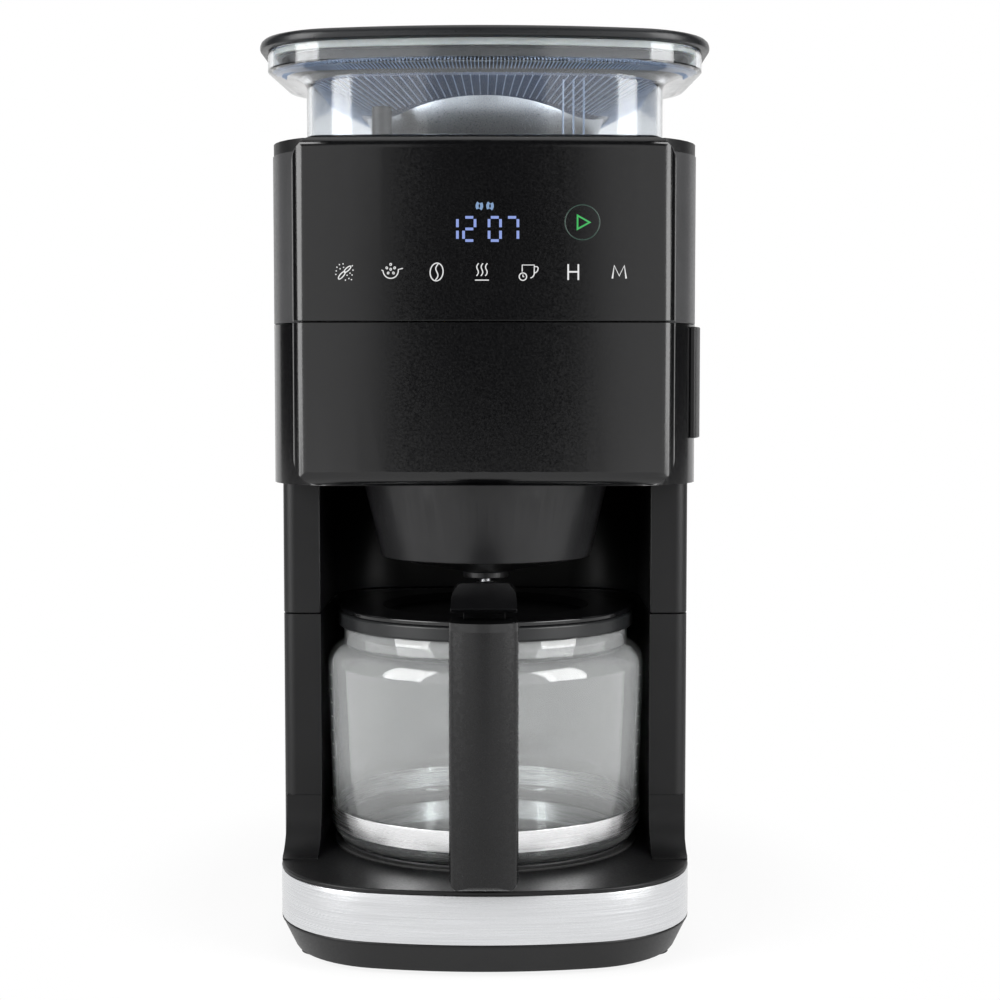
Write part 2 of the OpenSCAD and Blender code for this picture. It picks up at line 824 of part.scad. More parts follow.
module shower_head() {
  holes = 8;
  top = door_top - shower_drop;
  color("#2b2b2c") difference() {
    union() {
      translate([0, shower_y, top - shower_t]) cylinder(r = shower_r, h = shower_t);
      translate([tube_x - turret / 2, shower_y - turret / 2, top])
        cube([turret, turret, riser_z + turret / 2 - top]);
      translate([0, shower_y, top]) cylinder(r = 4, h = door_top - top);
    }
    for (i = [0 : holes - 1]) translate([0, shower_y, 0]) rotate((i + 0.5) * 360 / holes)
      translate([shower_r - 7, 0, top - 2 * shower_t]) cylinder(r = 1.5, h = 3 * shower_t);
    translate([tube_x, shower_y, riser_z]) rotate([-90, 0, 0]) cylinder(r = tube_r - tube_t, h = turret);
    translate([tube_x, shower_y, top - 2 * shower_t]) cylinder(r = 2.5, h = riser_z - top + 2 * shower_t);
  }
}

// Grinder

module at_burr(z = 0) {
  translate([0, burr_y, z]) children();
}

module gear_plate() {
  front = burr_y - chamber_r + 1;
  back = motor_y + motor_r;
  color("#6d6f72") difference() {
    union() {
      slab(bed_z, bed_top) round_rect(-bed_x, front, bed_x, back, 8);
      for (side = [-1, 1]) for (y = [front + bed_post_r + 1, back - bed_post_r - 3])
        translate([side * (bed_x - bed_post_r), y, floor_top])
          cylinder(r = bed_post_r, h = bed_z - floor_top);
    }
    at_burr(bed_z - over) cylinder(r = shaft_r + run_gap, h = bed_t + 2 * over);
    translate([0, idler_y, bed_z - over]) cylinder(r = shaft_r - 1, h = bed_t + 2 * over);
    translate([0, motor_y, bed_z - over]) cylinder(r = shaft_r + 1, h = bed_t + 2 * over);
  }
}

module grinder_chamber() {
  color("#3a3b3d") difference() {
    at_burr(bed_top) cylinder(r = chamber_r, h = chamber_h);
    at_burr(bed_top + chamber_t) cylinder(r = chamber_r - chamber_t, h = chamber_h);
    at_burr(bed_top - over) cylinder(r = shaft_r + run_gap, h = chamber_t + 2 * over);
    translate([-chute_w / 2, burr_y - chamber_r - over, bed_top + chamber_t])
      cube([chute_w, chamber_r, port_h]);
  }
}

module grounds_chute() {
  duct_top = bed_top + chamber_t + chute_h;
  color("#3a3b3d") difference() {
    union() {
      translate([-chute_w / 2 - chute_t, chute_y - chute_d / 2, door_top - 4])
        cube([chute_w + 2 * chute_t, chute_d, duct_top - door_top + 4]);
      translate([-chute_w / 2 - chute_t, chute_y, bed_top])
        cube([chute_w + 2 * chute_t, burr_y - chute_y - chamber_r + 6, duct_top - bed_top]);
    }
    translate([-chute_w / 2, chute_y - chute_d / 2 + chute_t, door_top - 4 - over])
      cube([chute_w, chute_d - 2 * chute_t, duct_top - door_top + 4 + over - chute_t]);
    translate([-chute_w / 2, chute_y, bed_top + chamber_t])
      cube([chute_w, chamber_r, duct_top - bed_top - chamber_t - chute_t]);
    at_burr(bed_top - over) cylinder(r = chamber_r + slip, h = chamber_h);
  }
}

module grinder_motor() {
  color("#8d9094") translate([0, motor_y, 0]) difference() {
    union() {
      translate([0, 0, bed_top]) cylinder(r = motor_r, h = motor_h);
      translate([0, 0, bed_top + motor_h]) cylinder(r = 7, h = motor_boss_h);
    }
    translate([0, 0, bed_top - over]) cylinder(r = shaft_r - 1 + run_gap, h = motor_h);
  }
}

module idler_pin() {
  color("#b0b0b0") translate([0, idler_y, floor_top])
    cylinder(r = shaft_r - 1, h = bed_top - floor_top);
}

// Tooth outline of a gear with its first tooth centred on +X.
function gear_points(teeth) =
  let (rp = gear_m * teeth / 2, step = 360 / teeth)
  [for (i = [0 : teeth - 1]) for (p = [[-0.32, -1.25], [-0.11, 1], [0.11, 1], [0.32, -1.25]])
    let (a = (i + p[0]) * step, r = rp + p[1] * gear_m) [r * cos(a), r * sin(a)]];

module gear(teeth, bore) {
  linear_extrude(gear_t) difference() {
    polygon(gear_points(teeth));
    circle(bore);
  }
}

module burr_gear() {
  color("#e2ddd0") at_burr(gear_z) rotate(90) gear(burr_teeth, shaft_r);
}

module idler_gear() {
  color("#e2ddd0") translate([0, idler_y, gear_z]) rotate(-90 + 180 / idler_teeth)
    gear(idler_teeth, shaft_r - 1 + run_gap);
}

module motor_pinion() {
  r = shaft_r - 1;
  color("#b0b0b0") translate([0, motor_y, 0]) {
    translate([0, 0, gear_z]) rotate(-90 + pinion_phase) gear(pinion_teeth, r / 2);
    translate([0, 0, gear_z]) cylinder(r = r, h = bed_top - gear_z + motor_shaft_h);
  }
}

// The idler's far side shows a gap or a tooth to the pinion, by whether its tooth count is odd.
pinion_phase = 180 / pinion_teeth * (idler_teeth % 2 == 0 ? 0 : 1);

module burr_shaft() {
  color("#b0b0b0") at_burr(floor_top + rest_gap) cylinder(r = shaft_r, h = burr_z + burr_h - floor_top + 4);
}

module lower_burr() {
  color("#9a9ca0") at_burr(burr_z) difference() {
    cylinder(r1 = burr_r, r2 = burr_r - 9, h = burr_h);
    for (i = [0 : flutes - 1]) rotate(i * 360 / flutes) translate([burr_r - 5, 0, -over])
      rotate([18, -22, 0]) cube([8, 3, 2 * burr_h]);
    translate([0, 0, -over]) cylinder(r = shaft_r, h = burr_h + 2 * over);
  }
}

module upper_burr() {
  gap = 0.8;
  color("#9a9ca0") at_burr(burr_z + 3) difference() {
    cylinder(r = burr_r + 6, h = burr_h - 2);
    translate([0, 0, -3]) cylinder(r1 = burr_r + gap, r2 = burr_r - 9 + gap, h = burr_h);
    translate([0, 0, burr_h - 4]) cylinder(r = burr_r - 8 + gap, h = burr_h);
  }
}

module adjust_ring() {
  hold = burr_z + 3 + burr_h - 2;
  color("#c9a13a") at_burr() difference() {
    union() {
      translate([0, 0, ring_z]) cylinder(r = chamber_r - 1, h = ring_h);
      translate([0, 0, hold]) cylinder(r = burr_r + 6, h = ring_z - hold);
    }
    translate([0, 0, hold - over]) cylinder(r = outlet_r, h = ring_z + ring_h - hold + 2 * over);
  }
}

module grind_lever() {
  arm_z = ring_z + ring_h;
  arm_h = 2.5;
  color("#1a1a1a") at_burr() rotate(lever_turn) {
    translate([outlet_r + 2, -5, arm_z]) cube([lever_r - outlet_r - 2, 10, arm_h]);
    translate([lever_r, 0, arm_z]) cylinder(r = post_r, h = post_top - arm_z);
  }
}

// Top and hopper

// Filling mouth over the water tank, moved in by inset.
module mouth_outline(inset = 0) {
  round_rect(inset - mouth_x, mouth_y + inset, mouth_x - inset, mouth_back - inset, 6 - inset);
}

module top_deck() {
  slot_r = post_r + 0.8;
  throat_z = ring_z + ring_h + over;
  lug_w = 4;
  lug_d = 6;
  lug_x = tank_lid_w / 2 + rest_gap + lug_w / 2;
  color("#1b1b1c") difference() {
    union() {
      difference() {
        slab(head_top, top_z) head_outline(0.4);
        behind_plate(head_top, top_z);
      }
      at_burr(throat_z) cylinder(r = outlet_r, h = top_z - throat_z);
      for (side = [-1, 1])
        translate([side * lug_x - lug_w / 2, tank_hinge_y - lug_d / 2, head_top])
          cube([lug_w, lug_d, tank_hinge_z + lug_d / 2 - head_top]);
    }
    at_burr(throat_z - over) cylinder(r = outlet_r - hopper_t, h = top_z - throat_z + 2 * over);
    at_burr(head_top - over) rotate(lever_turn - lever_swing) rotate_extrude(angle = 2 * lever_swing)
      translate([lever_r - slot_r, 0]) square([2 * slot_r, top_t + 2 * over]);
    for (turn = [-lever_swing, lever_swing]) at_burr(head_top - over) rotate(lever_turn + turn)
      translate([lever_r, 0, 0]) cylinder(r = slot_r, h = top_t + 2 * over);
    slab(head_top - over, top_z + over) mouth_outline();
    translate([-body_w / 2, tank_hinge_y, tank_hinge_z]) rotate([0, 90, 0])
      cylinder(r = tank_pin_r, h = body_w);
  }
}

module tank_lid_pins() {
  hold = 6;
  color("#a9a9a9") for (side = [-1, 1]) translate([side * (tank_lid_w / 2 + 4), tank_hinge_y, tank_hinge_z])
    rotate([0, -90 * side, 0]) cylinder(r = tank_pin_r, h = 4 + hold);
}

module bean_hopper() {
  edge = 0.6;
  color("#b9cbdc") difference() {
    union() {
      slab(top_z, flare_z) hopper_outline();
      hull() {
        slab(flare_z, flare_z + edge) hopper_outline();
        slab(flange_z - edge, flange_z) lid_outline(flange_w);
      }
      slab(flange_z, flange_z + flange_h) lid_outline(flange_w);
    }
    slab(top_z - over, flare_z + hopper_t + over) hopper_outline(hopper_t);
    hull() {
      slab(flare_z + hopper_t, flare_z + hopper_t + edge) hopper_outline(hopper_t);
      slab(flange_z, flange_z + edge) lid_outline(flange_w, hopper_t);
    }
    slab(flange_z, flange_z + flange_h + over) lid_outline(flange_w, hopper_t);
  }
}

module hopper_funnel() {
  lip = flare_z + hopper_t;
  color("#b9cbdc") {
    at_burr() rotate_extrude() polygon([
      [outlet_r, top_z], [outlet_r, top_z + 3], [funnel_mouth_r, flare_z],
      [funnel_mouth_r, flare_z + hopper_t], [outlet_r - hopper_t, top_z + 3 + hopper_t],
      [outlet_r - hopper_t, top_z]]);
    difference() {
      slab(flare_z, lip) hopper_outline(hopper_t + slip);
      at_burr(flare_z - over) cylinder(r = funnel_mouth_r - 1, h = hopper_t + 2 * over);
    }
  }
}

module hopper_lid() {
  lip_t = 2;
  color("#232324") {
    slab(lid_z, lid_z + lid_t) lid_outline(lid_w);
    difference() {
      slab(lid_z - lid_lip, lid_z + over) lid_outline(flange_w, seal_in);
      slab(lid_z - lid_lip - over, lid_z) lid_outline(flange_w, seal_in + lip_t);
    }
  }
}

module hopper_lid_seal() {
  color("#8f9aa3") difference() {
    slab(lid_z - 3, lid_z - 0.5) lid_outline(flange_w, hopper_t + rest_gap);
    slab(lid_z - lid_lip, lid_z) lid_outline(flange_w, seal_in);
  }
}

module tank_lid() {
  hw = tank_lid_w / 2;
  gap = 1;
  plug_t = 2;
  plug_z = top_z - 4.5;
  corner = 8;
  color("#1b1b1c") difference() {
    union() {
      intersection() {
        slab(tank_lid_z, tank_lid_z + tank_lid_t)
          round_rect(-hw, mouth_y - 8, hw, tank_hinge_y + 2 * corner, corner);
        translate([-body_w, mouth_y - 2 * corner, tank_lid_z - over])
          cube([2 * body_w, tank_hinge_y - mouth_y + 2 * corner, tank_lid_t + 2 * over]);
      }
      translate([-hw, tank_hinge_y, tank_hinge_z]) rotate([0, 90, 0]) cylinder(d = tank_lid_t, h = 2 * hw);
      difference() {
        slab(plug_z, tank_lid_z + over) mouth_outline(gap);
        slab(plug_z - over, tank_lid_z) mouth_outline(gap + plug_t);
      }
    }
    translate([-hw - over, tank_hinge_y, tank_hinge_z]) rotate([0, 90, 0])
      cylinder(r = tank_pin_r + run_gap, h = 2 * hw + 2 * over);
  }
}

// Door and filter

module door_shell() {
  top = door_top - seam / 2;
  front_plate(door_z, top, false);
  intersection() {
    slab(door_z, top) head_outline();
    translate([0, plate_y + plate_edge, door_z]) {
      translate([-body_w, 0, 0]) cube([2 * body_w, hinge_y - plate_y - plate_edge, top - door_z]);
      cube([body_w, flank_y - seam - plate_y - plate_edge, top - door_z]);
    }
  }
  translate([hinge_x, hinge_y, head_z + lug_h + rest_gap])
    cylinder(r = barrel_r, h = top - head_z - lug_h - rest_gap);
}

module basket_door() {
  bore_r = pin_r + run_gap;
  rim = 6;
  color("#0d0d0e") difference() {
    door_shell();
    plate_recess(door_z, door_top)
      round_rect(rim - plate_w / 2, door_z + rim, plate_w / 2 - rim, door_top - rim, rim);
    intersection() {
      slab(door_z - over, door_top + over) head_outline(wall);
      translate([-body_w, head_y, head_z - over]) cube([2 * body_w, body_w, door_h + 2 * over]);
    }
    translate([hinge_x, hinge_y, head_z]) cylinder(r = bore_r, h = door_h + over);
    translate([hinge_x, hinge_y, head_z - over])
      cylinder(r = barrel_r + rest_gap, h = lug_h + rest_gap + over);
  }
}

module door_grip() {
  z1 = door_top - seam / 2 - 1;
  grip_d = 18;
  color("#111112") intersection() {
    difference() {
      slab(z1 - grip_h, z1) head_outline(-grip_t);
      slab(z1 - grip_h - over, z1 + over) head_outline();
    }
    translate([0, hinge_y - grip_d, z1 - grip_h - over]) cube([body_w, grip_d, grip_h + 2 * over]);
  }
}

module door_catch() {
  catch_t = 4;
  reach_in = 7;
  seat = 12;
  color("#2d2d2e") translate([body_w / 2 - wall - 2 * rest_gap - catch_t, flank_y - seat, head_z + 28])
    cube([catch_t, seat + reach_in, 16]);
}

// Runner that hugs the filter holder from behind and is open to the front, so that the holder slides out.
module basket_carrier() {
  hold_r = funnel_rim_r - 0.6 + slip;
  rail_y = flank_y - 10;
  arm_d = 12;
  color("#141415") difference() {
    union() {
      at_carafe(carrier_z) cylinder(r = carrier_r, h = carrier_h);
      translate([-carrier_r, rail_y, carrier_z]) cube([2 * carrier_r, carafe_y - rail_y, carrier_h]);
      translate([wall - body_w / 2, carafe_y - arm_d / 2, carrier_z])
        cube([body_w - 2 * wall, arm_d, carrier_h]);
    }
    at_carafe(carrier_z - over) cylinder(r = hold_r, h = carrier_h + 2 * over);
    translate([-hold_r, carafe_y - 2 * carrier_r, carrier_z - over])
      cube([2 * hold_r, 2 * carrier_r, carrier_h + 2 * over]);
  }
}

// Outside of the filter holder, drawn as radius and height, moved in by t.
function funnel_points(t) = [
  [funnel_foot_r - t, funnel_z], [funnel_knee_r - t, funnel_z + funnel_knee],
  [funnel_rim_r - 0.6 - t, funnel_top]];

module filter_holder() {
  t = funnel_t;
  bore = valve_r + run_gap;
  color("#222223") at_carafe() rotate_extrude() {
    polygon(concat(funnel_points(0), [for (i = [2 : -1 : 0]) funnel_points(t)[i]],
      [[spout_r - t, valve_seat], [bore, valve_seat], [bore, spout_z + pocket_h],
       [pocket_r, spout_z + pocket_h], [pocket_r, spout_z],
       [spout_r, spout_z], [spout_r, spout_z + spout_h]]));
    translate([funnel_rim_r - 3, funnel_top - lip_h]) square([5, lip_h]);
  }
}

module mesh_filter() {
  ribs = 12;
  wall_t = 1;
  flange_t = 1.2;
  foot = funnel_z + 6;
  knee = funnel_top - 4;
  r0 = 34;
  r1 = funnel_rim_r - funnel_t - 3;
  color("#c9b26a") at_carafe() difference() {
    rotate_extrude() polygon([
      [r0, foot], [r1, knee], [r1, funnel_top], [funnel_rim_r - 0.6, funnel_top],
      [funnel_rim_r - 0.6, funnel_top + flange_t], [r1 - wall_t, funnel_top + flange_t], [r1 - wall_t, knee],
      [r0 - wall_t, foot + wall_t], [valve_r + 8, foot + wall_t], [valve_r + 8, foot]]);
    for (i = [0 : ribs - 1]) rotate((i + 0.5) * 360 / ribs)
      translate([r0 - 8, -5, foot + 10]) cube([40, 10, funnel_h - 32]);
  }
}

module drip_valve() {
  cap_h = 3;
  seal_t = 1.5;
  z0 = spout_z - valve_foot_h - rest_gap - valve_travel;
  cap_z = valve_seat + rest_gap + seal_t;
  color("#d9d9d9") at_carafe() {
    translate([0, 0, z0]) cylinder(r = valve_r, h = cap_z - z0 + cap_h / 2);
    translate([0, 0, z0]) cylinder(r = 6.5, h = valve_foot_h);
    translate([0, 0, cap_z]) cylinder(r = 7, h = cap_h);
  }
}

module valve_seal() {
  color("#7b3a34") at_carafe(valve_seat + rest_gap) difference() {
    cylinder(r = 6.5, h = 1.5);
    translate([0, 0, -over]) cylinder(r = valve_r, h = 1.5 + 2 * over);
  }
}

// Compression spring between the holder's spout and the valve's foot.
module valve_spring() {
  turns = 3.5;
  wire = 0.4;
  coil_r = valve_r + 1.3;
  z0 = spout_z - rest_gap - valve_travel + wire;
  z1 = spout_z + pocket_h - wire;
  rings = 8 * turns;
  sides = 6;
  points = [for (i = [0 : rings]) for (j = [0 : sides - 1])
    let (a = 360 * i / 8, b = 360 * j / sides, r = coil_r + wire * cos(b))
    [r * cos(a), r * sin(a), z0 + (z1 - z0) * i / rings + wire * sin(b)]];
  skin = [for (i = [0 : rings - 1]) for (j = [0 : sides - 1])
    let (k = (j + 1) % sides, p = i * sides, q = p + sides)
    each [[p + j, q + k, p + k], [p + j, q + j, q + k]]];
  ends = [for (j = [1 : sides - 2]) each
    [[0, j, j + 1], [rings * sides, rings * sides + j + 1, rings * sides + j]]];
  color("#b5b5b5") at_carafe() polyhedron(points, concat(skin, ends));
}

// Carafe

// Outside of the glass, drawn as radius and height, moved in by t.
function glass_points(t) = concat(
  [[0, carafe_z + t]],
  arc([carafe_foot_r - foot_round, carafe_z + foot_round], foot_round - t, -90, 0),
  arc([carafe_r - shoulder_r, belly_z], shoulder_r - t, 0, shoulder_turn, 10),
  [[neck_r - t, rim_z + (t > 0 ? over : 0)], [0, rim_z + (t > 0 ? over : 0)]]);

module carafe_glass() {
  color("#cfd6d8") at_carafe() difference() {
    rotate_extrude() polygon(glass_points(0));
    rotate_extrude() polygon(glass_points(glass_t));
  }
}

module carafe_hoop() {
  // The hoop follows the slight taper between the foot and the belly.
  rise = belly_h - foot_round;
  function wall_r(z) = carafe_foot_r + (carafe_r - carafe_foot_r) * max(0, z - carafe_z - foot_round) / rise;
  z0 = carafe_z + foot_round;
  z1 = z0 + hoop_h;
  hoop_t = 0.7;
  color("#c9c9cb") at_carafe() rotate_extrude() polygon([
    [wall_r(z0) + slip, z0], [wall_r(z0) + hoop_t, z0], [wall_r(z1) + hoop_t, z1], [wall_r(z1) + slip, z1]]);
}

module carafe_collar() {
  color("#7d7e80") at_carafe() rotate_extrude() polygon([
    [neck_r, collar_top - collar_h], [collar_r - 0.8, collar_top - collar_h],
    [collar_r, collar_top - collar_h + 0.8], [collar_r, collar_top - 0.8], [collar_r - 0.8, collar_top],
    [neck_r - glass_t, collar_top], [neck_r - glass_t, rim_z], [neck_r, rim_z]]);
}

module carafe_handle() {
  hw = handle_w / 2;
  y0 = handle_y - handle_t;
  edge_r = 5;
  ear_r = 3.9;
  neck_air = 2.2;
  glass_air = 0.4;
  color("#262627") difference() {
    union() {
      intersection() {
        slab(handle_z, handle_top) bowed(handle_w, y0, handle_y, handle_bow, edge_r, edge_r);
        along_x(-handle_w, handle_w) round_rect(y0, handle_z, handle_y, handle_top + 2 * edge_r, edge_r);
        along_y(y0 - over, handle_y + over) round_rect(-hw, handle_z, hw, handle_top + 2 * edge_r, edge_r);
      }
      translate([-arm_w / 2, y0 + handle_t / 2, arm_top - arm_h])
        cube([arm_w, carafe_y - collar_r - handle_y + handle_t / 2 + 8, arm_h]);
      for (side = [-1, 1]) translate([side * ear_x - ear_t / 2, 0, 0]) along_x(0, ear_t)
        round_rect(lid_pin_y - 4, arm_top - arm_h, lid_pin_y + 4, lid_pin_z + 4, ear_r);
    }
    at_carafe(collar_top - collar_h) cylinder(r = collar_r, h = 2 * collar_h);
    at_carafe(belly_z) cylinder(r = neck_r + neck_air, h = collar_top - collar_h - belly_z + over);
    at_carafe(handle_z) cylinder(r = carafe_r + glass_air, h = belly_z - handle_z + shoulder_r);
    translate([-handle_w, lid_pin_y, lid_pin_z]) rotate([0, 90, 0]) cylinder(r = lid_pin_r, h = 2 * handle_w);
    translate([-lever_w / 2 - rest_gap, lid_pin_y, lid_pin_z]) rotate([0, 90, 0])
      cylinder(r = lever_hub_r + 0.5, h = lever_w + 2 * rest_gap);
    handle_screw_place() cylinder(r = screw_r, h = 60);
  }
}

module handle_screw_place() {
  translate([0, handle_y - handle_t + 12, arm_top - arm_h / 2]) rotate([-90, 0, 0]) children();
}

module handle_screw() {
  color("#9a9a9a") handle_screw_place()
    cylinder(r = screw_r, h = carafe_y - collar_r - handle_y + handle_t - 12);
}

module lid_hinge_pin() {
  x = ear_x + ear_t / 2;
  color("#a9a9a9") translate([-x, lid_pin_y, lid_pin_z]) rotate([0, 90, 0])
    cylinder(r = lid_pin_r, h = 2 * x);
}

module carafe_lid() {
  plug_r = neck_r - glass_t - 0.8;
  z = lid_gap_z;
  dish_r = 48;
  color("#141415") difference() {
    at_carafe() rotate_extrude() polygon([
      [2.5, z - 4], [plug_r - 2, z - 4], [plug_r - 2, z - 9], [plug_r, z - 9], [plug_r, z],
      [collar_r - 0.5, z], [collar_r - 0.5, z + 1.6], [collar_r - 1.1, z + brew_lid_t],
      [dish_r + 2, z + brew_lid_t], [dish_r, z - 1], [9, z - 1], [7.5, z + 1.5], [2.5, z + 1.5]]);
    for (side = [-1, 1]) translate([side * 16, carafe_y - 30, z - 5]) cylinder(r = 1.2, h = 6);
  }
}

// Hub on the hinge pin, a foot on the lid and a broad thumb tab that slopes over the handle.
module lid_lever() {
  z = lid_gap_z + brew_lid_t;
  back = carafe_y - collar_r + 12;
  tip = handle_y - handle_t / 2;
  under = lid_pin_z + 5;
  top = z + tab_h;
  crest = lid_pin_y + 3;
  nose = [tip - 1.5, handle_top + tab_air + 1.5];
  run = crest - 2 - nose[0];
  drop = top - nose[1];
  hump_r = (run * run + drop * drop) / (2 * drop);
  hw = tab_w / 2;
  edge_r = 5;
  color("#141415") difference() {
    union() {
      along_x(-lever_w / 2, lever_w / 2) polygon(concat(
        arc([lid_pin_y, lid_pin_z], lever_hub_r, 180, 340),
        [[lid_pin_y + 4, z], [back, z], [back, z + 3], [crest + 5, z + 8], [crest, top - 6],
         [lid_pin_y - lever_hub_r, under + over]]));
      intersection() {
        along_x(-tab_w, tab_w) polygon(concat(
          [[crest + 2.5, under], [tip, handle_top + tab_air]],
          arc([crest - 2, top - hump_r], hump_r, 90 + asin(run / hump_r), 90), [[crest + 2.5, top - 2]]));
        along_y(tip - hump_r, crest + hump_r) polygon(concat(
          arc([hw - edge_r, top - edge_r], edge_r, 0, 90), arc([edge_r - hw, top - edge_r], edge_r, 90, 180),
          [[-hw, handle_z], [hw, handle_z]]));
      }
    }
    translate([-tab_w, lid_pin_y, lid_pin_z]) rotate([0, 90, 0])
      cylinder(r = lid_pin_r + run_gap, h = 2 * tab_w);
  }
}

rubber_feet();
base_pan();
bottom_screws();
base_trim_band();
base_deck();
warming_plate();
plate_gasket();
heater_ring();
riser_tube();
feed_tube();
power_board();
tower_lower();
tower_upper();
rear_cover();
rear_cover_screws();
cord_gland();
water_tank();
head_housing();
door_hinge_pins();
touch_panel();
display_module();
touch_board();
shower_head();
gear_plate();
grinder_chamber();
grounds_chute();
grinder_motor();
idler_pin();
top_deck();
bean_hopper();
hopper_funnel();
basket_door();
door_grip();
door_catch();
basket_carrier();
filter_holder();
mesh_filter();
drip_valve();
valve_seal();
valve_spring();
carafe_glass();
carafe_hoop();
carafe_collar();
carafe_handle();
handle_screw();
lid_hinge_pin();
carafe_lid();
lid_lever();
hopper_lid();
hopper_lid_seal();
tank_lid();
tank_lid_pins();
lower_burr();
burr_shaft();
burr_gear();
idler_gear();
motor_pinion();
adjust_ring();
upper_burr();
grind_lever();
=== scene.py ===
import json
import math

import bmesh
import bpy
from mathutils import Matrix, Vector

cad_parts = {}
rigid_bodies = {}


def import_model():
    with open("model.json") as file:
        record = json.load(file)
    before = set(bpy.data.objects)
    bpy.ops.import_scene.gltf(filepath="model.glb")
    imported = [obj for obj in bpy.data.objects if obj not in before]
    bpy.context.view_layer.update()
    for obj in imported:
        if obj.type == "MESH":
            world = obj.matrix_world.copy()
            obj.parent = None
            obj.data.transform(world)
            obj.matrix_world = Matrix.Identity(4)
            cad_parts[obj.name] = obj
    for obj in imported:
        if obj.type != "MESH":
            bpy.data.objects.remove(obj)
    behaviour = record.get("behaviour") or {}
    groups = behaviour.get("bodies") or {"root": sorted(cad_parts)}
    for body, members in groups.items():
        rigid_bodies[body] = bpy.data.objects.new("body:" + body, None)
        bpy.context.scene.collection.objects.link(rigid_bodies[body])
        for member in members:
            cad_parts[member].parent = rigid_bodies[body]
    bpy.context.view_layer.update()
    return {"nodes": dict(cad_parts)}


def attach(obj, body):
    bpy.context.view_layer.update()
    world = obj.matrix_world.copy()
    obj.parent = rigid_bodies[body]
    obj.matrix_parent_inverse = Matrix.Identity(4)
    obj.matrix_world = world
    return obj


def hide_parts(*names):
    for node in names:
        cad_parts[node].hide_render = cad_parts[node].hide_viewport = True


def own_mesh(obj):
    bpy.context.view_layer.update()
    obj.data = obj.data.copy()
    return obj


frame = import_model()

scene = bpy.context.scene
mm = 0.001


# sRGB hex value as linear colour
def hexColour(text):
    parts = [int(text[i:i + 2], 16) / 255 for i in (1, 3, 5)]
    return [c / 12.92 if c <= 0.04045 else ((c + 0.055) / 1.055) ** 2.4 for c in parts] + [1.0]


# adds a node; an input is a value, another node's socket, or a node, for its first output
def addNode(tree, kind, inputs=None, **settings):
    node = tree.nodes.new(kind)
    for key, value in settings.items():
        setattr(node, key, value)
    for key, value in (inputs or {}).items():
        if isinstance(value, bpy.types.Node):
            value = value.outputs[0]
        if isinstance(value, bpy.types.NodeSocket):
            tree.links.new(value, node.inputs[key])
        else:
            node.inputs[key].default_value = value
    return node


# node tree of a material or world, with nothing in it
def emptyTree(owner):
    owner.use_nodes = True
    owner.node_tree.nodes.clear()
    return owner.node_tree


# starts a material; surface is what goes on the shader's own sockets
def startMaterial(name, colour, **surface):
    material = bpy.data.materials.new(name)
    material.diffuse_color = hexColour(colour)
    tree = emptyTree(material)
    inputs = {"Base Color": hexColour(colour)}
    inputs.update({key.replace("_", " "): value for key, value in surface.items()})
    shader = addNode(tree, "ShaderNodeBsdfPrincipled", inputs)
    addNode(tree, "ShaderNodeOutputMaterial", {"Surface": shader})
    where = addNode(tree, "ShaderNodeTexCoord").outputs["Object"]
    return material, tree, shader, where


# noise: "scale" is for a grain 1 mm wide; roughness moves by "plastic" or "metal", down and up
noise = {"scale": 500, "detail": 2.0, "mix": 0.55, "cloudMm": 14, "plastic": (0.05, 0.05),
         "metal": (0.06, 0.08), "metalDetail": 3.0}
shown = {"From Min": 0.3, "From Max": 0.7}      # the part of the noise's range that is used


# fine grain of a surface, in its gloss and in a shallow relief
def addGrain(tree, shader, where, sizeMm, gloss, depthMm=None, detail=noise["detail"]):
    grain = addNode(tree, "ShaderNodeTexNoise", {
        "Vector": where, "Scale": noise["scale"] / sizeMm,
        "Detail": detail, "Roughness": noise["mix"]})
    sheen = addNode(tree, "ShaderNodeMapRange", {
        "Value": grain, "To Min": gloss[0], "To Max": gloss[1], **shown})
    tree.links.new(sheen.outputs[0], shader.inputs["Roughness"])
    if depthMm:
        bump = addNode(tree, "ShaderNodeBump", {"Height": grain, "Distance": depthMm * mm, "Strength": 1.0})
        tree.links.new(bump.outputs[0], shader.inputs["Normal"])
    return grain


# a pattern shifts the colour between dark and light
def addTint(tree, shader, pattern, dark, light):
    shade = addNode(tree, "ShaderNodeMapRange", {"Value": pattern, **shown})
    colour = addNode(tree, "ShaderNodeMix", {
        0: shade, 6: hexColour(dark), 7: hexColour(light)}, data_type="RGBA")
    tree.links.new(colour.outputs[2], shader.inputs["Base Color"])


def mouldedPlastic(name, dark, light, rough, grainMm, depthMm, **surface):
    material, tree, shader, where = startMaterial(name, light, **surface)
    down, up = noise["plastic"]
    addGrain(tree, shader, where, grainMm, (rough - down, rough + up), depthMm)
    clouds = addNode(tree, "ShaderNodeTexNoise", {
        "Vector": where, "Scale": noise["scale"] / noise["cloudMm"], "Detail": noise["detail"],
        "Roughness": noise["mix"]})
    addTint(tree, shader, clouds, dark, light)
    return material


# stretch draws the grain out into strokes
def plainMetal(name, dark, light, rough, grainMm, stretch=(1, 1, 1), depthMm=0.004):
    material, tree, shader, where = startMaterial(name, light, Metallic=1.0)
    strokes = addNode(tree, "ShaderNodeMapping", {"Vector": where, "Scale": [1 / s for s in stretch]})
    down, up = noise["metal"]
    grain = addGrain(tree, shader, strokes, grainMm, (rough - down, rough + up), depthMm,
                     noise["metalDetail"])
    addTint(tree, shader, grain, dark, light)
    return material


clearWall = {"swirlDepth": 0.02, "smooth": 0.6, "dull": 1.4, "footClear": 0.97}


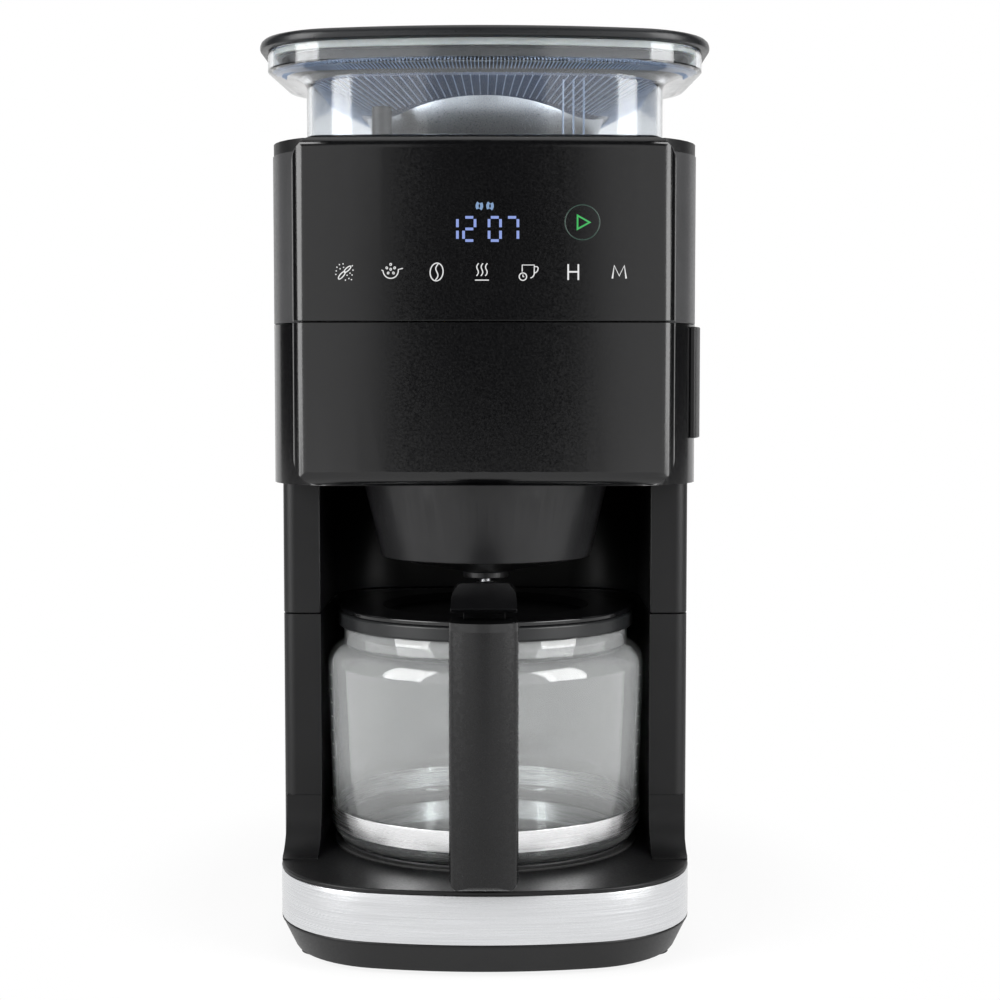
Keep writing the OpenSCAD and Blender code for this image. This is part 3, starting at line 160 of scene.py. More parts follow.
# clear wall with faint swirls; between the heights hazeMm it turns from clear to hazy
def clearPlastic(name, colour, rough, ior, swirlMm=9, clear=1.0, hazeMm=None):
    material, tree, shader, where = startMaterial(name, colour, Transmission_Weight=clear, IOR=ior)
    gloss = (rough * clearWall["smooth"], rough * clearWall["dull"])
    addGrain(tree, shader, where, swirlMm, gloss, clearWall["swirlDepth"])
    if hazeMm:
        height = addNode(tree, "ShaderNodeSeparateXYZ", {"Vector": where}).outputs["Z"]
        veil = addNode(tree, "ShaderNodeMapRange", {
            "Value": height, "From Min": hazeMm[0] * mm, "From Max": hazeMm[1] * mm,
            "To Min": clearWall["footClear"], "To Max": clear})
        tree.links.new(veil.outputs[0], shader.inputs["Transmission Weight"])
    return material


litPrint = {"unlit": "#0c0c0d", "grainMm": 0.4, "gloss": (0.3, 0.5)}


# printed or lit mark: dark where it is not lit, with the fine grain of ink
def litMark(name, colour, strength):
    material, tree, shader, where = startMaterial(
        name, colour, Base_Color=hexColour(litPrint["unlit"]),
        Emission_Color=hexColour(colour), Emission_Strength=strength)
    addGrain(tree, shader, where, litPrint["grainMm"], litPrint["gloss"])
    return material


# ABS with a spark-eroded mould texture: a soft, slightly speckled grey sheen instead of a mirror
texturedAbs = mouldedPlastic("texturedAbs", "#0a0a0b", "#0f0f10", 0.42, 0.45, 0.008, Specular_IOR_Level=0.3)
# the same ABS on the head as a paler copy: a painted sheen that stands in for the light its rounded sides
# catch
paintedSheenAbs = mouldedPlastic("paintedSheenAbs", "#313132", "#353536", 0.36, 0.6, 0.003)
# polished black ABS: deep black that mirrors the studio, with the faint waviness of a moulded face
polishedAbs = mouldedPlastic("polishedAbs", "#030304", "#050506", 0.20, 0.5, 0.0004)
# brushed stainless steel: bright, with fine horizontal strokes, drawn coarser than life so that they show
brushedSteel = plainMetal("brushedSteel", "#d0d1d3", "#dddee0", 0.24, 0.3, (60, 60, 1), 0.0008)
# satin steel hoop round the glass: nearly white under the studio light
satinSteel = plainMetal("satinSteel", "#ececed", "#f6f6f7", 0.26, 0.3, (60, 60, 1), 0.0005)
# baked non-stick coat: dead black with a tiny sparkle
nonStickCoat = mouldedPlastic("nonStickCoat", "#1c1c1d", "#2b2b2c", 0.38, 0.6, 0.02)
# nitrile rubber: flat black, a little dusty
nitrileRubber = mouldedPlastic("nitrileRubber", "#101010", "#191919", 0.72, 0.8, 0.03)
# zinc-plated steel: dull grey metal of screws and pins
platedSteel = plainMetal("platedSteel", "#8d8e90", "#a6a7a9", 0.33, 0.8)
# hardened burr steel: ground, darker and rougher
groundSteel = plainMetal("groundSteel", "#7b7d80", "#96989b", 0.40, 0.5)
# drawn aluminium of the heater's tube and the motor's can: pale, with a soft metal sheen
drawnAluminium = plainMetal("drawnAluminium", "#a9aaac", "#c6c7c9", 0.36, 1.2)
# silicone hose: milky and soft
siliconeHose = mouldedPlastic("siliconeHose", "#cfcac0", "#dfdbd2", 0.52, 2.0, 0.01, Subsurface_Weight=0.2)
# glass-epoxy circuit board: deep green under a smooth lacquer
lacqueredBoard = mouldedPlastic("lacqueredBoard", "#174a2b", "#23633b", 0.35, 1.5, 0.01)
# clear SAN of the water tank: faint blue-grey
clearSan = clearPlastic("clearSan", "#c9d4dc", 0.08, 1.57)
# injection-moulded clear polycarbonate of the bean hopper: cool, bright where the white wall shows through
clearPolycarbonate = clearPlastic("clearPolycarbonate", "#f2f5f8", 0.08, 1.49, 9, 0.99)
# the same plastic in the sloping hopper floor, seen through its depth, so blue-grey, with a painted glow that
# stands in for the light coming through the clear walls
bluePlasticPaintedGlow = mouldedPlastic("bluePlasticPaintedGlow", "#36445c", "#45546e", 0.22, 3.0, 0.004,
                                   Emission_Color=hexColour("#45546e"), Emission_Strength=0.12)
# pale ribs and studs moulded on that floor, with a painted glow that stands in for the light they catch
# through the clear walls
palePlasticPaintedGlow = mouldedPlastic("palePlasticPaintedGlow", "#7d8ea8", "#93a3bb", 0.3, 1.0, 0.004,
                                   Emission_Color=hexColour("#8798b2"), Emission_Strength=0.2)
# silver-lacquered throat of the funnel: a satin mirror
silverLacquer = mouldedPlastic("silverLacquer", "#a9adb1", "#b2b5b9", 0.30, 0.25, 0.0002, Metallic=1.0)
# polypropylene of the filter holder: charcoal, satin, slightly waxy
satinPolypropylene = mouldedPlastic("satinPolypropylene", "#1b1b1c", "#232324", 0.36, 1.2, 0.002,
                                    Specular_IOR_Level=0.35)
# gold-toned steel of the filter mesh: warm glints
filterMesh = plainMetal("filterMesh", "#a88a4c", "#c6ab6d", 0.34, 0.7)
# blown borosilicate glass: clear, with barely visible waves and the thin haze of a washed pot
borosilicateGlass = clearPlastic("borosilicateGlass", "#f6f8f8", 0.02, 1.52, 24, 0.85, (58, 82))
# grey polypropylene of the carafe's collar: satin, a shade lighter than the handle
greyPolypropylene = mouldedPlastic("greyPolypropylene", "#161718", "#1d1e1f", 0.34, 0.8, 0.004,
                                   Specular_IOR_Level=0.35)
# satin ABS of the handle: dark grey with a broad soft sheen
satinAbs = mouldedPlastic("satinAbs", "#09090a", "#0d0d0e", 0.27, 1.0, 0.001, Specular_IOR_Level=0.35)
# gloss polypropylene of the carafe's lid: near black, with sharp highlights
glossPolypropylene = mouldedPlastic("glossPolypropylene", "#080809", "#0d0d0e", 0.16, 0.8, 0.001)
# smoked plastic of the hopper's lid: near black, with a soft sheen
smokedLid = mouldedPlastic("smokedLid", "#131416", "#191a1c", 0.32, 1.0, 0.001, Specular_IOR_Level=0.35)
# glass-filled nylon of the grinder's parts: dark grey and dull
filledNylon = mouldedPlastic("filledNylon", "#343537", "#424346", 0.50, 0.4, 0.02)
# natural acetal of the gears: creamy and waxy
naturalAcetal = mouldedPlastic("naturalAcetal", "#d6d1c4", "#e6e2d7", 0.36, 1.0, 0.008)
# ochre nylon of the adjusting ring: warm, half matt
ochreNylon = mouldedPlastic("ochreNylon", "#b08a2c", "#c9a344", 0.42, 0.8, 0.010)
# screen-printed white ink, a touch lit from behind on the panel
whiteInk = litMark("whiteInk", "#f4f4f4", 0.85)
# light guides behind the panel: they glow evenly
blueLight = litMark("blueLight", "#8a9fe0", 0.95)
paleBlueLight = litMark("paleBlueLight", "#7f9fc8", 0.9)
greenLight = litMark("greenLight", "#2fb054", 1.0)
dimGreenLight = litMark("dimGreenLight", "#1b4838", 0.6)
# enamel print of the cup marks on the glass: flat pale grey
greyEnamel = mouldedPlastic("greyEnamel", "#8b8e90", "#a3a6a8", 0.5, 0.4, 0.004)
print("materials made:", len(bpy.data.materials))


def addObject(name, data):
    obj = bpy.data.objects.new(name, data)
    scene.collection.objects.link(obj)
    return obj


def meshFrom(name, bm):
    mesh = bpy.data.meshes.new(name)
    bm.to_mesh(mesh)
    bm.free()
    return mesh


def newPiece(name, bm, material, body, nodes=(), angle=32):
    dressMesh(name, meshFrom(name, bm), material, body, nodes, angle)


# smooths a mesh and hangs it on its body; a mesh that brings its own normals keeps them
def dressMesh(name, mesh, material, body, nodes=(), angle=32):
    if "custom_normal" not in mesh.attributes:
        mesh.shade_smooth()
        mesh.set_sharp_from_angle(angle=math.radians(angle))
    mesh.materials.clear()
    mesh.materials.append(material)
    mesh.name = name
    piece = addObject(name, mesh)
    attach(piece, body)
    if nodes:
        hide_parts(*nodes)
    return piece


# turns an object with modifiers into a plain mesh and drops the object
def plainMesh(obj):
    graph = bpy.context.evaluated_depsgraph_get()
    mesh = bpy.data.meshes.new_from_object(obj.evaluated_get(graph))
    old = obj.data
    bpy.data.objects.remove(obj)
    bpy.data.batch_remove([old])
    return mesh


# sizes in mm, angles in degrees
rounding = {"merge": 0.004, "flat": 0.6, "sharp": 35, "wideFaces": 70}


# a CAD node's mesh with its doubles merged
def cadMesh(node):
    bm = bmesh.new()
    bm.from_mesh(frame["nodes"][node].data)
    bmesh.ops.remove_doubles(bm, verts=bm.verts, dist=rounding["merge"] * mm)
    return bm


# copy of a CAD node with its sharp edges rounded; cut = (height, keep the upper part)
def roundedCopy(node, name, material, body, roundMm, segments=2, cut=None, nodes=None):
    bm = cadMesh(node)
    bmesh.ops.dissolve_limit(bm, angle_limit=math.radians(rounding["flat"]), verts=bm.verts, edges=bm.edges)
    if cut:
        sides = bmesh.ops.bisect_plane(
            bm, geom=bm.verts[:] + bm.edges[:] + bm.faces[:], plane_co=(0, 0, cut[0] * mm),
            plane_no=(0, 0, 1), clear_inner=cut[1], clear_outer=not cut[1])["geom_cut"]
        bmesh.ops.holes_fill(bm, edges=[e for e in sides if isinstance(e, bmesh.types.BMEdge)], sides=0)
    mesh = meshFrom(name, bm)
    if "custom_normal" in mesh.attributes:
        mesh.attributes.remove(mesh.attributes["custom_normal"])
    mesh.shade_smooth()
    sharp = math.radians(rounding["sharp"])
    mesh.set_sharp_from_angle(angle=sharp)
    obj = addObject(name + "Raw", mesh)
    if roundMm:
        bevel = obj.modifiers.new("edges", "BEVEL")
        bevel.width = roundMm * mm
        bevel.segments = segments
        bevel.limit_method = "ANGLE"
        bevel.angle_limit = sharp
        bevel.miter_outer = "MITER_ARC"
    even = obj.modifiers.new("shading", "WEIGHTED_NORMAL")   # wide faces keep their own normals
    even.mode = "FACE_AREA_WITH_ANGLE"
    even.weight = rounding["wideFaces"]
    even.keep_sharp = True
    return dressMesh(name, plainMesh(obj), material, body, [node] if nodes is None else nodes)


bowSteps, cornerSteps = 40, 14


# closed outline at height z: bowed front, tangent front corners, straight sides, round back corners (mm)
def bowedOutline(z, width, front, back, bow, corner, rear):
    half = width / 2
    cx = half - corner
    cy = front + bow - math.sqrt((bow - corner) ** 2 - cx ** 2)
    turn = math.asin(cx / (bow - corner))
    down = 1.5 * math.pi
    arcs = [((0, front + bow), bow, down - turn, down + turn, bowSteps),
            ((cx, cy), corner, down + turn, 2 * math.pi, cornerSteps),
            ((half - rear, back - rear), rear, 0, math.pi / 2, cornerSteps),
            ((rear - half, back - rear), rear, math.pi / 2, math.pi, cornerSteps),
            ((-cx, cy), corner, math.pi, down - turn, cornerSteps)]
    points = []
    for centre, radius, a, b, steps in arcs:
        for i in range(steps):
            t = a + (b - a) * i / steps
            points.append((centre[0] + radius * math.cos(t), centre[1] + radius * math.sin(t), z))
        # an arc that runs into a straight side or back has its end point too
        if centre[0] > 0 and b == 2 * math.pi or b in (math.pi / 2, math.pi):
            points.append((centre[0] + radius * math.cos(b), centre[1] + radius * math.sin(b), z))
    return points


# skin over rings of points; the ends are capped, or joined to each other for a hollow wall
def loftRings(rings, joinEnds=False, bm=None):
    bm = bm or bmesh.new()
    loops = [[bm.verts.new([c * mm for c in point]) for point in ring] for ring in rings]
    pairs = list(zip(loops, loops[1:] + loops[:1] if joinEnds else loops[1:]))
    for low, high in pairs:
        count = len(low)
        for i in range(count):
            k = (i + 1) % count
            bm.faces.new((low[i], low[k], high[k], high[i]))
    if not joinEnds:
        bm.faces.new(loops[0][::-1])
        bm.faces.new(loops[-1])
    bmesh.ops.recalc_face_normals(bm, faces=bm.faces)
    return bm


# turned shape from (radius, height) points of a closed profile (mm)
def turnProfile(profile, centre, steps=144):
    bm = bmesh.new()
    turns = [2 * math.pi * i / steps for i in range(steps)]
    rows = []
    for radius, height in profile:
        if radius < 1e-6:   # on the axis
            rows.append([bm.verts.new((centre[0] * mm, centre[1] * mm, height * mm))])
            continue
        rows.append([bm.verts.new(((centre[0] + radius * math.cos(t)) * mm,
                                   (centre[1] + radius * math.sin(t)) * mm, height * mm)) for t in turns])
    for low, high in zip(rows, rows[1:] + rows[:1]):
        if len(low) == 1 and len(high) == 1:
            continue
        for i in range(steps):
            k = (i + 1) % steps
            ring = [low[i % len(low)], low[k % len(low)], high[k % len(high)], high[i % len(high)]]
            bm.faces.new(list(dict.fromkeys(ring)))
    bmesh.ops.recalc_face_normals(bm, faces=bm.faces)
    return bm


def arcPoints(centre, radius, start, end, steps):
    turns = [math.radians(start + (end - start) * i / steps) for i in range(steps + 1)]
    return [(centre[0] + radius * math.cos(t), centre[1] + radius * math.sin(t)) for t in turns]


# Geometry Nodes: starts a tree with a path coming in and named sizes beside it
def startTree(name, sizes):
    tree = bpy.data.node_groups.new(name, "GeometryNodeTree")
    for label, kind in {"Path": "Geometry", **sizes}.items():
        tree.interface.new_socket(name=label, in_out="INPUT", socket_type="NodeSocket" + kind)
    tree.interface.new_socket(name="Result", in_out="OUTPUT", socket_type="NodeSocketGeometry")
    return tree, addNode(tree, "NodeGroupInput").outputs


def endTree(tree, instances, material):
    real = addNode(tree, "GeometryNodeRealizeInstances", {"Geometry": instances})
    painted = addNode(tree, "GeometryNodeSetMaterial", {"Geometry": real, "Material": material})
    addNode(tree, "NodeGroupOutput", {0: painted})
    return tree


# evenly spaced points on the path that comes in
def pathPoints(tree, put):
    line = addNode(tree, "GeometryNodeMeshToCurve", {"Mesh": put["Path"]})
    return addNode(tree, "GeometryNodeCurveToPoints", {"Curve": line, "Count": put["Count"]}, mode="COUNT")


# bars along a path, pointing away from a centre: Follow 1 runs them in to a radius, 0 gives one depth;
# Slope 0 keeps them level
def barTree():
    tree, put = startTree("barsAlongPath", {
        "Count": "Int", "Centre": "Vector", "Inner Radius": "Float", "Depth": "Float", "Follow": "Float",
        "Slope": "Float", "Width": "Float", "Height": "Float", "Finish": "Material"})
    spots = pathPoints(tree, put)
    spot = addNode(tree, "GeometryNodeInputPosition")
    out = addNode(tree, "ShaderNodeVectorMath", {0: spot, 1: put["Centre"]}, operation="SUBTRACT")
    reach = addNode(tree, "ShaderNodeVectorMath", {0: out}, operation="LENGTH")
    run = addNode(tree, "ShaderNodeMath", {
        0: reach.outputs["Value"], 1: put["Inner Radius"]}, operation="SUBTRACT")
    depth = addNode(tree, "ShaderNodeMix", {0: put["Follow"], 2: put["Depth"], 3: run}, data_type="FLOAT")
    size = addNode(tree, "ShaderNodeCombineXYZ", {0: depth, 1: put["Width"], 2: put["Height"]})
    share = addNode(tree, "ShaderNodeCombineXYZ", {0: 1.0, 1: 1.0, 2: put["Slope"]})
    aim = addNode(tree, "ShaderNodeVectorMath", {0: out, 1: share}, operation="MULTIPLY")
    level = addNode(tree, "FunctionNodeAlignRotationToVector", {"Vector": aim}, axis="X", pivot_axis="Z")
    turn = addNode(tree, "FunctionNodeAlignRotationToVector", {"Rotation": level, "Vector": aim}, axis="X")
    block = addNode(tree, "GeometryNodeMeshCube", {"Size": (1, 1, 1)})
    inward = addNode(tree, "GeometryNodeTransform", {"Geometry": block, "Translation": (-0.5, 0, 0)})
    bars = addNode(tree, "GeometryNodeInstanceOnPoints", {
        "Points": spots, "Instance": inward, "Rotation": turn, "Scale": size})
    return endTree(tree, bars, put["Finish"])


# round beads along a path
def dotTree():
    tree, put = startTree("dotsAlongPath", {"Count": "Int", "Size": "Float", "Finish": "Material"})
    spots = pathPoints(tree, put)
    bead = addNode(tree, "GeometryNodeMeshIcoSphere", {"Radius": put["Size"], "Subdivisions": 2})
    dots = addNode(tree, "GeometryNodeInstanceOnPoints", {"Points": spots, "Instance": bead})
    return endTree(tree, dots, put["Finish"])


# screws stood on points, heads towards one direction
def screwTree():
    tree, put = startTree("screwsOnPoints", {"Screw": "Object", "Heading": "Vector", "Finish": "Material"})
    shape = addNode(tree, "GeometryNodeObjectInfo", {"Object": put["Screw"]})
    turn = addNode(tree, "FunctionNodeAlignRotationToVector", {"Vector": put["Heading"]}, axis="Z")
    spots = addNode(tree, "GeometryNodeMeshToPoints", {"Mesh": put["Path"]})
    screws = addNode(tree, "GeometryNodeInstanceOnPoints", {
        "Points": spots, "Instance": shape.outputs["Geometry"], "Rotation": turn})
    return endTree(tree, screws, put["Finish"])


# piece made by a tree over paths of points (mm)
def treePiece(tree, name, paths, closed, material, body, slot, nodes=(), **sizes):
    mesh = bpy.data.meshes.new(name)
    points, edges = [], []
    for path in paths:
        first = len(points)
        points += [[c * mm for c in p] for p in path]
        edges += [(first + i, first + i + 1) for i in range(len(path) - 1)]
        if closed:
            edges.append((first + len(path) - 1, first))
    mesh.from_pydata(points, edges, [])
    obj = addObject(name, mesh)
    modifier = obj.modifiers.new("tree", "NODES")
    modifier.node_group = tree
    sizes["Finish"] = material
    for socket in tree.interface.items_tree:
        key = socket.name.replace(" ", "_")
        if key in sizes:
            modifier[socket.identifier] = sizes[key]
    dressMesh(name, plainMesh(obj), material, body, nodes)


bars, dots, screws = barTree(), dotTree(), screwTree()

# base: tapered skirt and steel band on one outline (mm)
base = {"width": 189, "front": -135.25, "back": 150.75, "bow": 240, "corner": 55, "rear": 20,
        "footTop": 2, "bandFoot": 16, "bandTop": 38, "bandWall": 1.2, "skirtIn": 6}


def baseRing(inset, z):
    return bowedOutline(z, base["width"] - 2 * inset, base["front"] + inset, base["back"] - inset,
                        base["bow"] - inset, base["corner"] - inset, base["rear"] - inset)


# the skirt and the band run through (inset, height) points
def makeBase():
    low, top, skirt = base["footTop"], base["bandFoot"], base["skirtIn"]
    pan = [(skirt + 1.6, low), (skirt + 0.5, low + 0.3), (skirt, low + 1), (0.5, top - 1.6),
           (0.05, top - 1), (0, top - 0.5), (0.3, top - 0.05)]
    newPiece("basePan", loftRings([baseRing(*p) for p in pan]),
             texturedAbs, "machine", ["base_pan"])
    foot, head, wall = base["bandFoot"], base["bandTop"], base["bandWall"]
    band = [(0.35, foot + 0.02), (0.08, foot + 0.15), (0, foot + 0.5), (0, head - 0.5),
            (0.08, head - 0.15), (0.35, head - 0.02), (wall, head - 0.02), (wall, foot + 0.02)]
    newPiece("steelBand", loftRings([baseRing(*p) for p in band], True),
             brushedSteel, "machine", ["base_trim_band"])
    roundedCopy("base_deck", "baseDeck", texturedAbs, "machine", 0.7)
    roundedCopy("plate_gasket", "plateGasket", nitrileRubber, "machine", 0.4)
    roundedCopy("warming_plate", "warmingPlate", nonStickCoat, "machine", 0.5)


def makeHousing():
    for node, name, roundMm in [("tower_lower", "towerLower", 0.8), ("tower_upper", "towerUpper", 0.8),
                                ("head_housing", "headHousing", 0.7), ("top_deck", "topDeck", 0.7),
                                ("rear_cover", "rearCover", 0.6), ("tank_lid", "tankLid", 0.8),
                                ("basket_carrier", "filterRunner", 0.5)]:
        body = "tank_lid" if node == "tank_lid" else "machine"
        # the head's ABS is paler: a painted sheen
        finish = paintedSheenAbs if node == "head_housing" else texturedAbs
        roundedCopy(node, name, finish, body, roundMm)
    roundedCopy("touch_panel", "touchPanel", polishedAbs, "machine", 0.3)
    roundedCopy("basket_door", "filterDoor", polishedAbs, "door", 0.3)
    roundedCopy("door_grip", "doorGrip", texturedAbs, "door", 0.6)


screwHead = {"radius": 3, "height": 1.2, "shaft": 1.6, "sides": 24, "edge": 0.4, "tip": 0.6, "tipIn": 0.5,
             "crossArm": 0.62, "crossWide": 0.16, "crossDeep": 0.6}     # cross as shares of the head


# cross-headed screw, head up, its top at the origin; length in mm
def screwShape(name, length):
    bm = bmesh.new()
    s = screwHead
    sides, radius, height, shaft = s["sides"], s["radius"], s["height"], s["shaft"]
    profile = [(radius - s["edge"], 0), (radius, -s["edge"]), (radius, -height), (shaft, -height),
               (shaft, s["tip"] - length), (shaft - s["tipIn"], -length)]
    turns = [2 * math.pi * i / sides for i in range(sides)]
    rows = [[bm.verts.new((r * math.cos(t) * mm, r * math.sin(t) * mm, z * mm)) for t in turns]
            for r, z in profile]
    for top, low in zip(rows, rows[1:]):
        for i in range(sides):
            k = (i + 1) % sides
            bm.faces.new((top[i], low[i], low[k], top[k]))
    bm.faces.new(rows[-1][::-1])
    arm, wide = radius * s["crossArm"], radius * s["crossWide"]
    corner = [(wide, arm), (wide, wide), (arm, wide)]
    cross = []
    for quarter in range(4):
        cross += corner
        corner = [(y, -x) for x, y in corner]
    mouth = [bm.verts.new((x * mm, y * mm, 0)) for x, y in cross]
    floor = [bm.verts.new((x * mm, y * mm, -s["crossDeep"] * height * mm)) for x, y in cross]
    rim = [bm.edges.new((mouth[i - 1], mouth[i])) for i in range(len(mouth))]
    rim += [bm.edges.get((rows[0][i - 1], rows[0][i])) for i in range(sides)]
    bmesh.ops.triangle_fill(bm, use_beauty=True, edges=rim)
    for i in range(len(mouth)):
        bm.faces.new((mouth[i - 1], mouth[i], floor[i], floor[i - 1]))
    bm.faces.new(floor)
    bmesh.ops.recalc_face_normals(bm, faces=bm.faces)
    return addObject(name, meshFrom(name, bm))


# lowest and highest corners of each loose solid of a CAD node, in mm
def solidsOf(node):
    bm = cadMesh(node)
    left, found = set(bm.verts), []
    while left:
        todo, group = [left.pop()], []
        while todo:
            vert = todo.pop()
            group.append(vert.co / mm)
            for edge in vert.link_edges:
                other = edge.other_vert(vert)
                if other in left:
                    left.remove(other)
                    todo.append(other)
        found.append([[pick(p[i] for p in group) for i in range(3)] for pick in (min, max)])
    bm.free()
    return sorted(found)


def makeScrews():
    for node, name, heading in [("bottom_screws", "bottomScrews", (0, 0, -1)),
                                ("rear_cover_screws", "rearScrews", (0, 1, 0))]:
        solids = solidsOf(node)
        axis = 2 if heading[2] else 1
        low, high = solids[0]
        shape = screwShape(name + "Shape", high[axis] - low[axis])
        spots = [[[a + (b - a) * (1 + way) / 2 for a, b, way in zip(*corners, heading)]]
                 for corners in solids]     # the middle of the head's outer face
        treePiece(screws, name, spots, False, platedSteel, "machine", "steel", [node],
                  Screw=shape, Heading=heading)
        bpy.data.objects.remove(shape)


# bean hopper: straight wall, curved flare and an upright flange under the lid (mm)
hopper = {"wallWidth": 164, "front": -101.25, "back": 36.75, "bow": 320, "wallCorner": 34, "wall": 2.5,
          "foot": 368.5, "flare": 397.5, "flange": 402.9, "flangeWidth": 200, "top": 412.7, "rim": 0.4,
          "innerRim": 0.3, "flareSteps": 8, "flareLead": 2, "sweepFrom": -62, "sweepTo": 12, "sweep": 4.5,
          "lidWidth": 207, "lidFront": -110.25, "lidBack": 69.75, "lidCorner": 42}


def wallRing(inset, z):
    corner = hopper["wallCorner"] - inset
    return bowedOutline(z, hopper["wallWidth"] - 2 * inset, hopper["front"] + inset, hopper["back"] - inset,
                        hopper["bow"], corner, corner)


# outline of the lid, or of the narrower flange under it
def lidRing(width, inset, z):
    side = (hopper["lidWidth"] - width) / 2 + inset
    corner = hopper["lidCorner"] - side
    return bowedOutline(z, hopper["lidWidth"] - 2 * side, hopper["lidFront"] + side, hopper["lidBack"] - side,
                        hopper["bow"], corner, corner)


def mixRings(a, b, share, z):
    return [(p[0] + (q[0] - p[0]) * share, p[1] + (q[1] - p[1]) * share, z) for p, q in zip(a, b)]


# adds points along the straight runs, so that none is further apart than step
def evenRing(ring, step):
    full = []
    for p, q in zip(ring, ring[1:] + ring[:1]):
        parts = max(1, math.ceil(math.dist(p, q) / step))
        full += [tuple(a + (b - a) * i / parts for a, b in zip(p, q)) for i in range(parts)]
    return full


# towards the back the flange gets lower, so its underside sweeps up
def swept(ring):
    start, end = hopper["sweepFrom"], hopper["sweepTo"]
    lift = []
    for x, y, z in ring:
        t = min(1, max(0, (y - start) / (end - start)))
        lift.append((x, y, z + hopper["sweep"] * t * t * (3 - 2 * t)))
    return lift


def makeHopper():
    h = hopper
    foot, flare, flange, top, wall = [h[k] for k in ("foot", "flare", "flange", "top", "wall")]
    width, rim, lead, steps = [h[k] for k in ("flangeWidth", "rim", "flareLead", "flareSteps")]

    def flareRing(inset, start, i):     # the flare sweeps out like a quarter ellipse
        t = math.radians(90 * i / steps)
        height = start + (flange + lead - flare) * math.sin(t)
        return swept(mixRings(wallRing(inset, 0), lidRing(width, inset, 0), 1 - math.cos(t), height))

    outer = [wallRing(0, foot), swept(wallRing(0, flare - lead))]
    outer += [flareRing(0, flare - lead, i) for i in range(1, steps)]
    outer += [swept(lidRing(width, 0, flange + lead / 2)), lidRing(width, 0, top - rim),
              lidRing(width, rim, top)]
    inner = [lidRing(width, wall - h["innerRim"], top), lidRing(width, wall, top - rim),
             swept(lidRing(width, wall, flange + lead))]
    inner += [flareRing(wall, flare, i) for i in range(steps - 1, 0, -1)]
    inner += [swept(wallRing(wall, flare)), wallRing(wall, foot)]
    newPiece("beanHopper", loftRings(outer + inner, True),
             clearPolycarbonate, "machine", ["bean_hopper"])


# hopper floor: it slopes from the wall to the throat, towards "aim" on the axis, with ribs fanned under it;
# "slope" is about how much longer a line is on the slope than across (mm)
beanFloor = {"axis": (0, -29.25), "outlet": 18, "throat": 56, "throatFoot": 52, "aim": 360, "edge": 399,
             "thick": 1.2, "gap": 0.15, "step": 4, "slope": 1.137,
             "ribs": 132, "ribWidth": 0.4, "ribHeight": 0.7, "ribDrop": 1.3, "ribGap": 2,
             "flareRibs": 140, "flareRib": 5, "flareAim": 355, "flareIn": 1.5, "flareUp": 1,
             "studs": 90, "studSize": 0.35, "studIn": 0.9, "studUp": 0.1,
             "ridges": 3, "ridgeFrom": 35.2, "ridgeTo": 44.4, "ridgeHeight": 26, "ridgeIn": 2.3,
             "ridgeDepth": 1}


def makeHopperFloor():
    h, f = hopper, beanFloor
    foot, wall = h["foot"], h["wall"]
    r, aim, edge, thick, drop = [f[k] for k in ("throat", "aim", "edge", "thick", "ribDrop")]
    ax, ay = f["axis"]
    rim = evenRing(wallRing(wall + f["gap"], edge), f["step"])

    def spokeRing(radius, z=None, lower=0):     # on the slope, or level at z
        ring = []
        for x, y, high in rim:
            share = radius / math.hypot(x - ax, y - ay)
            height = aim + (high - aim) * share if z is None else z
            ring.append((ax + (x - ax) * share, ay + (y - ay) * share, height - lower))
        return ring

    # relief in the pale plastic, with a painted glow
    def addRelief(tree, name, path, closed, **sizes):
        treePiece(tree, name, [path], closed, palePlasticPaintedGlow, "machine", "hopper_clear", **sizes)

    lowRim = [(x, y, z - thick) for x, y, z in rim]
    # the floor is blue-grey plastic with a painted glow
    newPiece("hopperFloor", loftRings([rim, spokeRing(r), spokeRing(r, lower=thick), lowRim], True),
             bluePlasticPaintedGlow, "machine")
    low, r0 = f["throatFoot"], f["outlet"]
    throat = [spokeRing(r0, foot), spokeRing(r0, foot + 1.5), spokeRing(low - 2, foot + 4),
              spokeRing(low, foot + 6.5), spokeRing(r + 0.6, lower=1), spokeRing(r + 0.6), spokeRing(r - 1),
              spokeRing(low - 1.6, foot + 7), spokeRing(low - 3.4, foot + 5.6),
              spokeRing(r0 - wall, foot + 3), spokeRing(r0 - wall, foot)]
    newPiece("hopperFunnel", loftRings(throat, True),
             silverLacquer, "machine", ["hopper_funnel"])
    rib = {"Width": f["ribWidth"] * mm, "Height": f["ribHeight"] * mm}
    addRelief(bars, "floorRibs", [(x, y, z - drop) for x, y, z in rim], True, Count=f["ribs"], Follow=1.0,
              Slope=1.0, Centre=(ax * mm, ay * mm, (aim - drop) * mm),
              Inner_Radius=(r + f["ribGap"]) * f["slope"] * mm, **rib)
    front = lidRing(h["flangeWidth"], wall + f["flareIn"], h["flange"] + f["flareUp"])
    front = front[-cornerSteps:] + front[:bowSteps + cornerSteps + 1]   # where the flange overhangs
    addRelief(bars, "flareRibs", front, False, Count=f["flareRibs"], Follow=0.0, Slope=1.0, Inner_Radius=0.0,
              Depth=f["flareRib"] * mm, Centre=(ax * mm, ay * mm, f["flareAim"] * mm), **rib)
    addRelief(dots, "floorStuds", wallRing(wall + f["studIn"], edge + f["studUp"]), True,
              Count=f["studs"], Size=f["studSize"] * mm)
    y, z = h["front"] + wall + f["ridgeIn"], (foot + h["flare"]) / 2    # upright, inside the front wall
    rib["Height"] = f["ridgeHeight"] * mm
    addRelief(bars, "wallRidges", [(f["ridgeFrom"], y, z), (f["ridgeTo"], y, z)], False, Count=f["ridges"],
              Centre=(ax * mm, ay * mm, 0), Inner_Radius=0.0, Depth=f["ridgeDepth"] * mm,
              Follow=0.0, Slope=0.0, **rib)


hopperLid = {"foot": 413.0, "top": 418.0, "lipFoot": 409.0, "lipIn": 4.3, "lipWall": 2}


